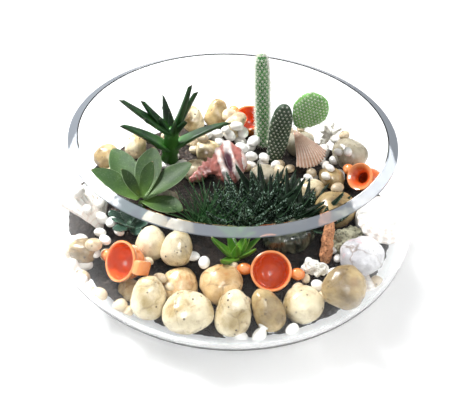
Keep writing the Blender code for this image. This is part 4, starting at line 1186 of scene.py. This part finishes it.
def carve_conch(material):
    """A whorled body with two raised lips round a sunken mouth, which its finish paints dark as painted
    shade, and a frilled wing swept down to one side.
    """
    spire, spout = millimetres(CONCH_SPIRE), millimetres(CONCH_SPOUT)
    way = spout - spire
    stand = Matrix.Translation(spire) @ along_x(way, (-0.2, -0.5, 0.85))
    last = len(CONCH_WIDTHS) - 1
    rings = [(width, way.length / MM * i / last) for i, width in enumerate(CONCH_WIDTHS)]
    conch = drawn_up("carved_conch_shell", rings, 28)
    conch.data.transform(stand @ Matrix.Diagonal((1, 1, CONCH_FLATNESS, 1)) @ Matrix.Rotation(pi / 2, 4, "Y"))
    outline = [(t, share * (1.25 if i % 2 else 0.75))
               for i, (t, share) in enumerate(leaf_outline(0.9, 1.0, 0.3, 1.3, 0.7, 13, 1.0))]
    wing = leaf_model("conch_wing", 34, 13, 7, outline, 0.12, -16, 10)
    pieces = [conch, set_leaf(wing, "conch_wing", millimetres(WING_ROOT), WING_WAY, top=(0.3, -0.5, 0.8))]
    for t, out in ((0.25, 8), (0.42, 9), (0.58, 8), (0.74, 6)):
        root = spire + way * t + millimetres((out, 0, -1))
        pieces.append(set_leaf(wing, "conch_frill", root, (1, -0.25, 0.1), 0.2, 0.42))
    discard(wing)
    conch = join("carved_conch_shell", pieces)
    apply_modifier(conch, "REMESH", mode="VOXEL", voxel_size=0.0008, use_smooth_shade=True)
    unturned = stand.inverted()

    def lie(point):
        """Share of the way from spire to spout, millimetres out to the left of it, and metres above it."""
        local = unturned @ point
        return local.x / way.length, local.y / MM, local.z

    def lips(point):
        t, left, _ = lie(point)
        if not -0.1 < t < 1.1:
            return 0.0
        near = min(1.0, 1.6 - 1.6 * abs(left - (0.5 + 11 * t * t)) / 5.0)
        far = min(1.0, 1.5 - 1.5 * abs(left + 9.5 - 9 * t) / 4.0)
        return max(0.0, near, far if t > 0.22 else 0.0)

    def mouth(point):
        t, left, _ = lie(point)
        return 1.6 - sqrt(((t - 0.58) / 0.2) ** 2 + ((left - 0.4 - 5 * (t - 0.4)) / 3.4) ** 2)

    def crest(point):
        _, left, height = lie(point)
        if left > WING_FROM:
            return min(1.0, max(0.0, (height + 0.5 * MM) / (2 * MM)))
        return lips(point)

    mark_point(conch, "ridge", crest)
    # painted shade: marks the mouth, which the conch finish paints dark
    mark_point(conch, "mouth_shade", mouth)
    top = (stand.to_3x3() @ Vector((0, 0, 1))).normalized()
    for vert in conch.data.vertices:
        over = max(0.0, min(1.0, lie(vert.co)[2] / (3 * MM)))
        shift = LIP_HEIGHT * lips(vert.co) - MOUTH_DEPTH * max(0.0, min(1.0, mouth(vert.co)))
        vert.co += top * shift * over * MM
    roughen(conch, "conch_frills", 0.006, 0.0028)
    roughen(conch, "conch_grain", 0.0016, 0.0008)
    apply_modifier(conch, "SMOOTH", factor=0.5, iterations=2)
    return finish(conch, material, "pink_shell", ["conch_shell"])


def grow_corals(orange, grey, white):
    for node, material, slot, size, strength, voxel in (
            ("coral_stick", orange, "orange_coral", 0.003, 0.0022, 0.0007),
            ("rough_coral", grey, "grey_coral", 0.006, 0.0090, 0.0009),
            ("coral_chip", white, "white_coral", 0.006, 0.0080, 0.0007),
            ("branch_coral", white, "white_coral", 0.003, 0.0022, 0.0006)):
        coral = own_copy(node, "crusted_" + node)
        apply_modifier(coral, "REMESH", mode="VOXEL", voxel_size=voxel, use_smooth_shade=True)
        roughen(coral, node + "_knobs", size, strength)
        roughen(coral, node + "_crust", 0.0012, 0.0007)
        finish(coral, material, slot, [node])


# Building --------------------------------------------------------------------------------------------------

wear = river_wear_effect()
leaf_skin = leaf_skin_effect()
growth = growth_effect()
pores = coral_pores_effect()

stone_finishes = {
    "cream_stone": stone_finish("cream_stone_finish", wear, (0.84, 0.74, 0.52), (0.46, 0.34, 0.16),
                                (0.28, 0.15, 0.05), 0.65, 0.4, 1.0),
    "tan_stone": stone_finish("tan_stone_finish", wear, (0.52, 0.38, 0.18), (0.18, 0.12, 0.05),
                              (0.24, 0.11, 0.03), 0.5, 0.4, 0.9),
    "amber_stone": stone_finish("amber_stone_finish", wear, (0.78, 0.58, 0.32), (0.44, 0.24, 0.08),
                                (0.46, 0.17, 0.03), 0.85, 0.7, 0.8),
    "grey_stone": stone_finish("grey_stone_finish", wear, (0.46, 0.41, 0.30), (0.24, 0.21, 0.15),
                               (0.22, 0.17, 0.11), 0.3, 0.2, 0.5),
    "white_stone": stone_finish("white_stone_finish", wear, (0.92, 0.90, 0.87), (0.62, 0.60, 0.58),
                                (0.34, 0.33, 0.32), 0.35, 0.2, 0.3),
    "marble_stone": stone_finish("marble_finish", wear, (0.74, 0.73, 0.74), (0.40, 0.39, 0.41),
                                 (0.56, 0.34, 0.36), 0.7, 0.6, 0.3),
    "green_rock": rock_finish(),
}
white_pebble = stone_finish("white_pebble_finish", wear, (0.95, 0.94, 0.91), (0.80, 0.77, 0.72),
                            (0.60, 0.52, 0.42), 0.2, 0.1, 0.2)
tan_pebble = stone_finish("tan_pebble_finish", wear, (0.72, 0.60, 0.42), (0.46, 0.35, 0.22),
                          (0.26, 0.15, 0.07), 0.4, 0.2, 0.6)
# the outer clay colour, then the inside's darker red, which is painted shade
terracotta = clay_finish("terracotta_finish", (0.86, 0.23, 0.045), (0.74, 0.10, 0.015))

blow_bowl(glass_finish("clear_glass_finish", (0.985, 0.995, 0.995), 0.0, 1.0, 1.18),
          glass_finish("rim_glass_finish", (0.57, 0.62, 0.69), 0.08, 0.62, 1.25))
bed_soil(soil_finish())
lay_stones(stone_finishes)
throw_pots(terracotta)

grow_rosette(leaf_finish("rosette_finish", leaf_skin, (0.09, 0.18, 0.03), (0.029, 0.068, 0.018),
                         (0.28, 0.36, 0.20), (0.20, 0.15, 0.07), 0.07, 0.05, gloss=0.0, roughness=0.55))
grow_aloe(leaf_finish("aloe_finish", leaf_skin, (0.04, 0.16, 0.02), (0.004, 0.022, 0.005),
                      (0.03, 0.11, 0.03), (0.07, 0.05, 0.02), 0.14, 0.06, gloss=0.15, roughness=0.42))
grow_tufts(banded_leaf_finish(leaf_skin),
           leaf_finish("fine_leaf_finish", leaf_skin, (0.02, 0.10, 0.02), (0.012, 0.07, 0.015),
                       (0.22, 0.40, 0.20), (0.34, 0.46, 0.24), 0.3, 0.15, gloss=0.1, roughness=0.5),
           leaf_finish("fresh_leaf_finish", leaf_skin, (0.20, 0.42, 0.03), (0.06, 0.22, 0.012),
                       (0.24, 0.42, 0.08), (0.16, 0.12, 0.03), 0.12, 0.1),
           leaf_finish("toothed_leaf_finish", leaf_skin, (0.06, 0.12, 0.07), (0.03, 0.075, 0.05),
                       (0.30, 0.38, 0.34), (0.10, 0.09, 0.10), 0.14, 0.08))
star = bristle_model()
bristles = bristle_finish()
# each skin's second colour serves its random mottle and the painted shade in its creases
column_skin = cactus_finish("column_skin_finish", (0.14, 0.46, 0.12), (0.04, 0.22, 0.04))
pad_skin = cactus_finish("round_pad_finish", (0.30, 0.64, 0.16), (0.12, 0.38, 0.06))
dark_skin = cactus_finish("dark_pad_finish", (0.05, 0.10, 0.05), (0.02, 0.05, 0.02))
cactus_pad("cactus_column", 3.0, 9, column_skin, bristles, star, 1.6)
cactus_pad("cactus_round_pad", 2.6, 0, pad_skin, bristles, star, 1.15)
cactus_pad("cactus_dark_pad", 3.0, 0, dark_skin, bristles, star, 0.8)
discard(star)

# each shell's second colour is for its rib crests: partly their own paler colour, partly painted highlight
peach_shell = shell_finish("peach_shell_finish", growth, (0.80, 0.52, 0.38), (0.93, 0.78, 0.66),
                           (0.72, 0.40, 0.28))
white_shell = shell_finish("white_shell_finish", growth, (0.85, 0.80, 0.74), (0.94, 0.92, 0.88),
                           (0.62, 0.42, 0.34))
open_shells(peach_shell, white_shell)
carve_conch(conch_finish())
# each coral's second colour serves its random crust and the painted shade in its pores
grow_corals(coral_finish("orange_coral_finish", pores, (0.74, 0.34, 0.16), (0.24, 0.08, 0.03), 620.0),
            coral_finish("grey_coral_finish", pores, (0.40, 0.38, 0.26), (0.10, 0.10, 0.06), 420.0),
            coral_finish("white_coral_finish", pores, (0.90, 0.88, 0.82), (0.50, 0.46, 0.38), 700.0))

bpy.context.view_layer.update()
ground = [obj for obj in bpy.context.scene.objects
          if obj.name.startswith(("worn_", "potting_soil", "fired_", "ribbed_", "crusted_"))]
strew("white_pebbles", WHITE_HEAPS, WHITE_WEDGED, white_pebble, "white_stone", ground, 3)
strew("tan_pebbles", TAN_HEAPS, TAN_WEDGED, tan_pebble, "tan_stone", ground, 11)

# The stage, the light and the camera -----------------------------------------------------------------------

bpy.ops.object.select_all(action="DESELECT")
bpy.ops.mesh.primitive_plane_add(size=6, location=(0, 0, -0.0004))
table = bpy.context.object
table.name = "table_top"
pale, pale_tree, pale_shader = new_material("pale_table", Roughness=0.7, Metallic=0.0,
                                            Emission_Color=(1, 1, 1), Emission_Strength=0.32)
place = on_piece(pale_tree)
tone = blend(pale_tree, cloud(pale_tree, place, 6.0), (0.92, 0.92, 0.92), (0.88, 0.88, 0.88))
pale_tree.links.new(tone, pale_shader.inputs["Base Color"])
table.data.materials.append(pale)

world = bpy.data.worlds.new("studio")
world.use_nodes = True
world.node_tree.nodes["Background"].inputs["Color"].default_value = (0.95, 0.97, 1.0, 1)
world.node_tree.nodes["Background"].inputs["Strength"].default_value = 0.42
bpy.context.scene.world = world


def soft_light(name, place, size, power, tint=(1, 1, 1), gloss_only=False):
    lamp = bpy.data.lights.new(name, "AREA")
    lamp.shape = "DISK"
    lamp.size = size
    lamp.energy = power
    lamp.color = tint
    obj = bpy.data.objects.new(name, lamp)
    bpy.context.scene.collection.objects.link(obj)
    obj.location = place
    obj.rotation_euler = (Vector((0, 0, 0.05)) - Vector(place)).to_track_quat("-Z", "Y").to_euler()
    obj.visible_diffuse = not gloss_only
    obj.visible_transmission = not gloss_only


soft_light("window_light", (-0.70, 0.55, 1.05), 0.35, 27)
soft_light("side_fill", (0.9, -0.2, 0.7), 0.8, 3, (1, 0.97, 0.93))
soft_light("front_window", (0.12, -0.75, 1.15), 0.40, 10, gloss_only=True)

EYE = (-0.00112, -0.38214, 0.36695)
TILT = 50.45
ROLL = 2.38
camera = bpy.data.objects.new("camera", bpy.data.cameras.new("camera"))
camera.data.lens = 49.05
camera.data.sensor_width = 36
camera.data.clip_start = 0.01
bpy.context.scene.collection.objects.link(camera)
camera.matrix_world = (Matrix.Translation(EYE) @ Matrix.Rotation(radians(TILT), 4, "X")
                       @ Matrix.Rotation(radians(ROLL), 4, "Z"))
bpy.context.scene.camera = camera
bpy.context.scene.view_settings.view_transform = "Standard"
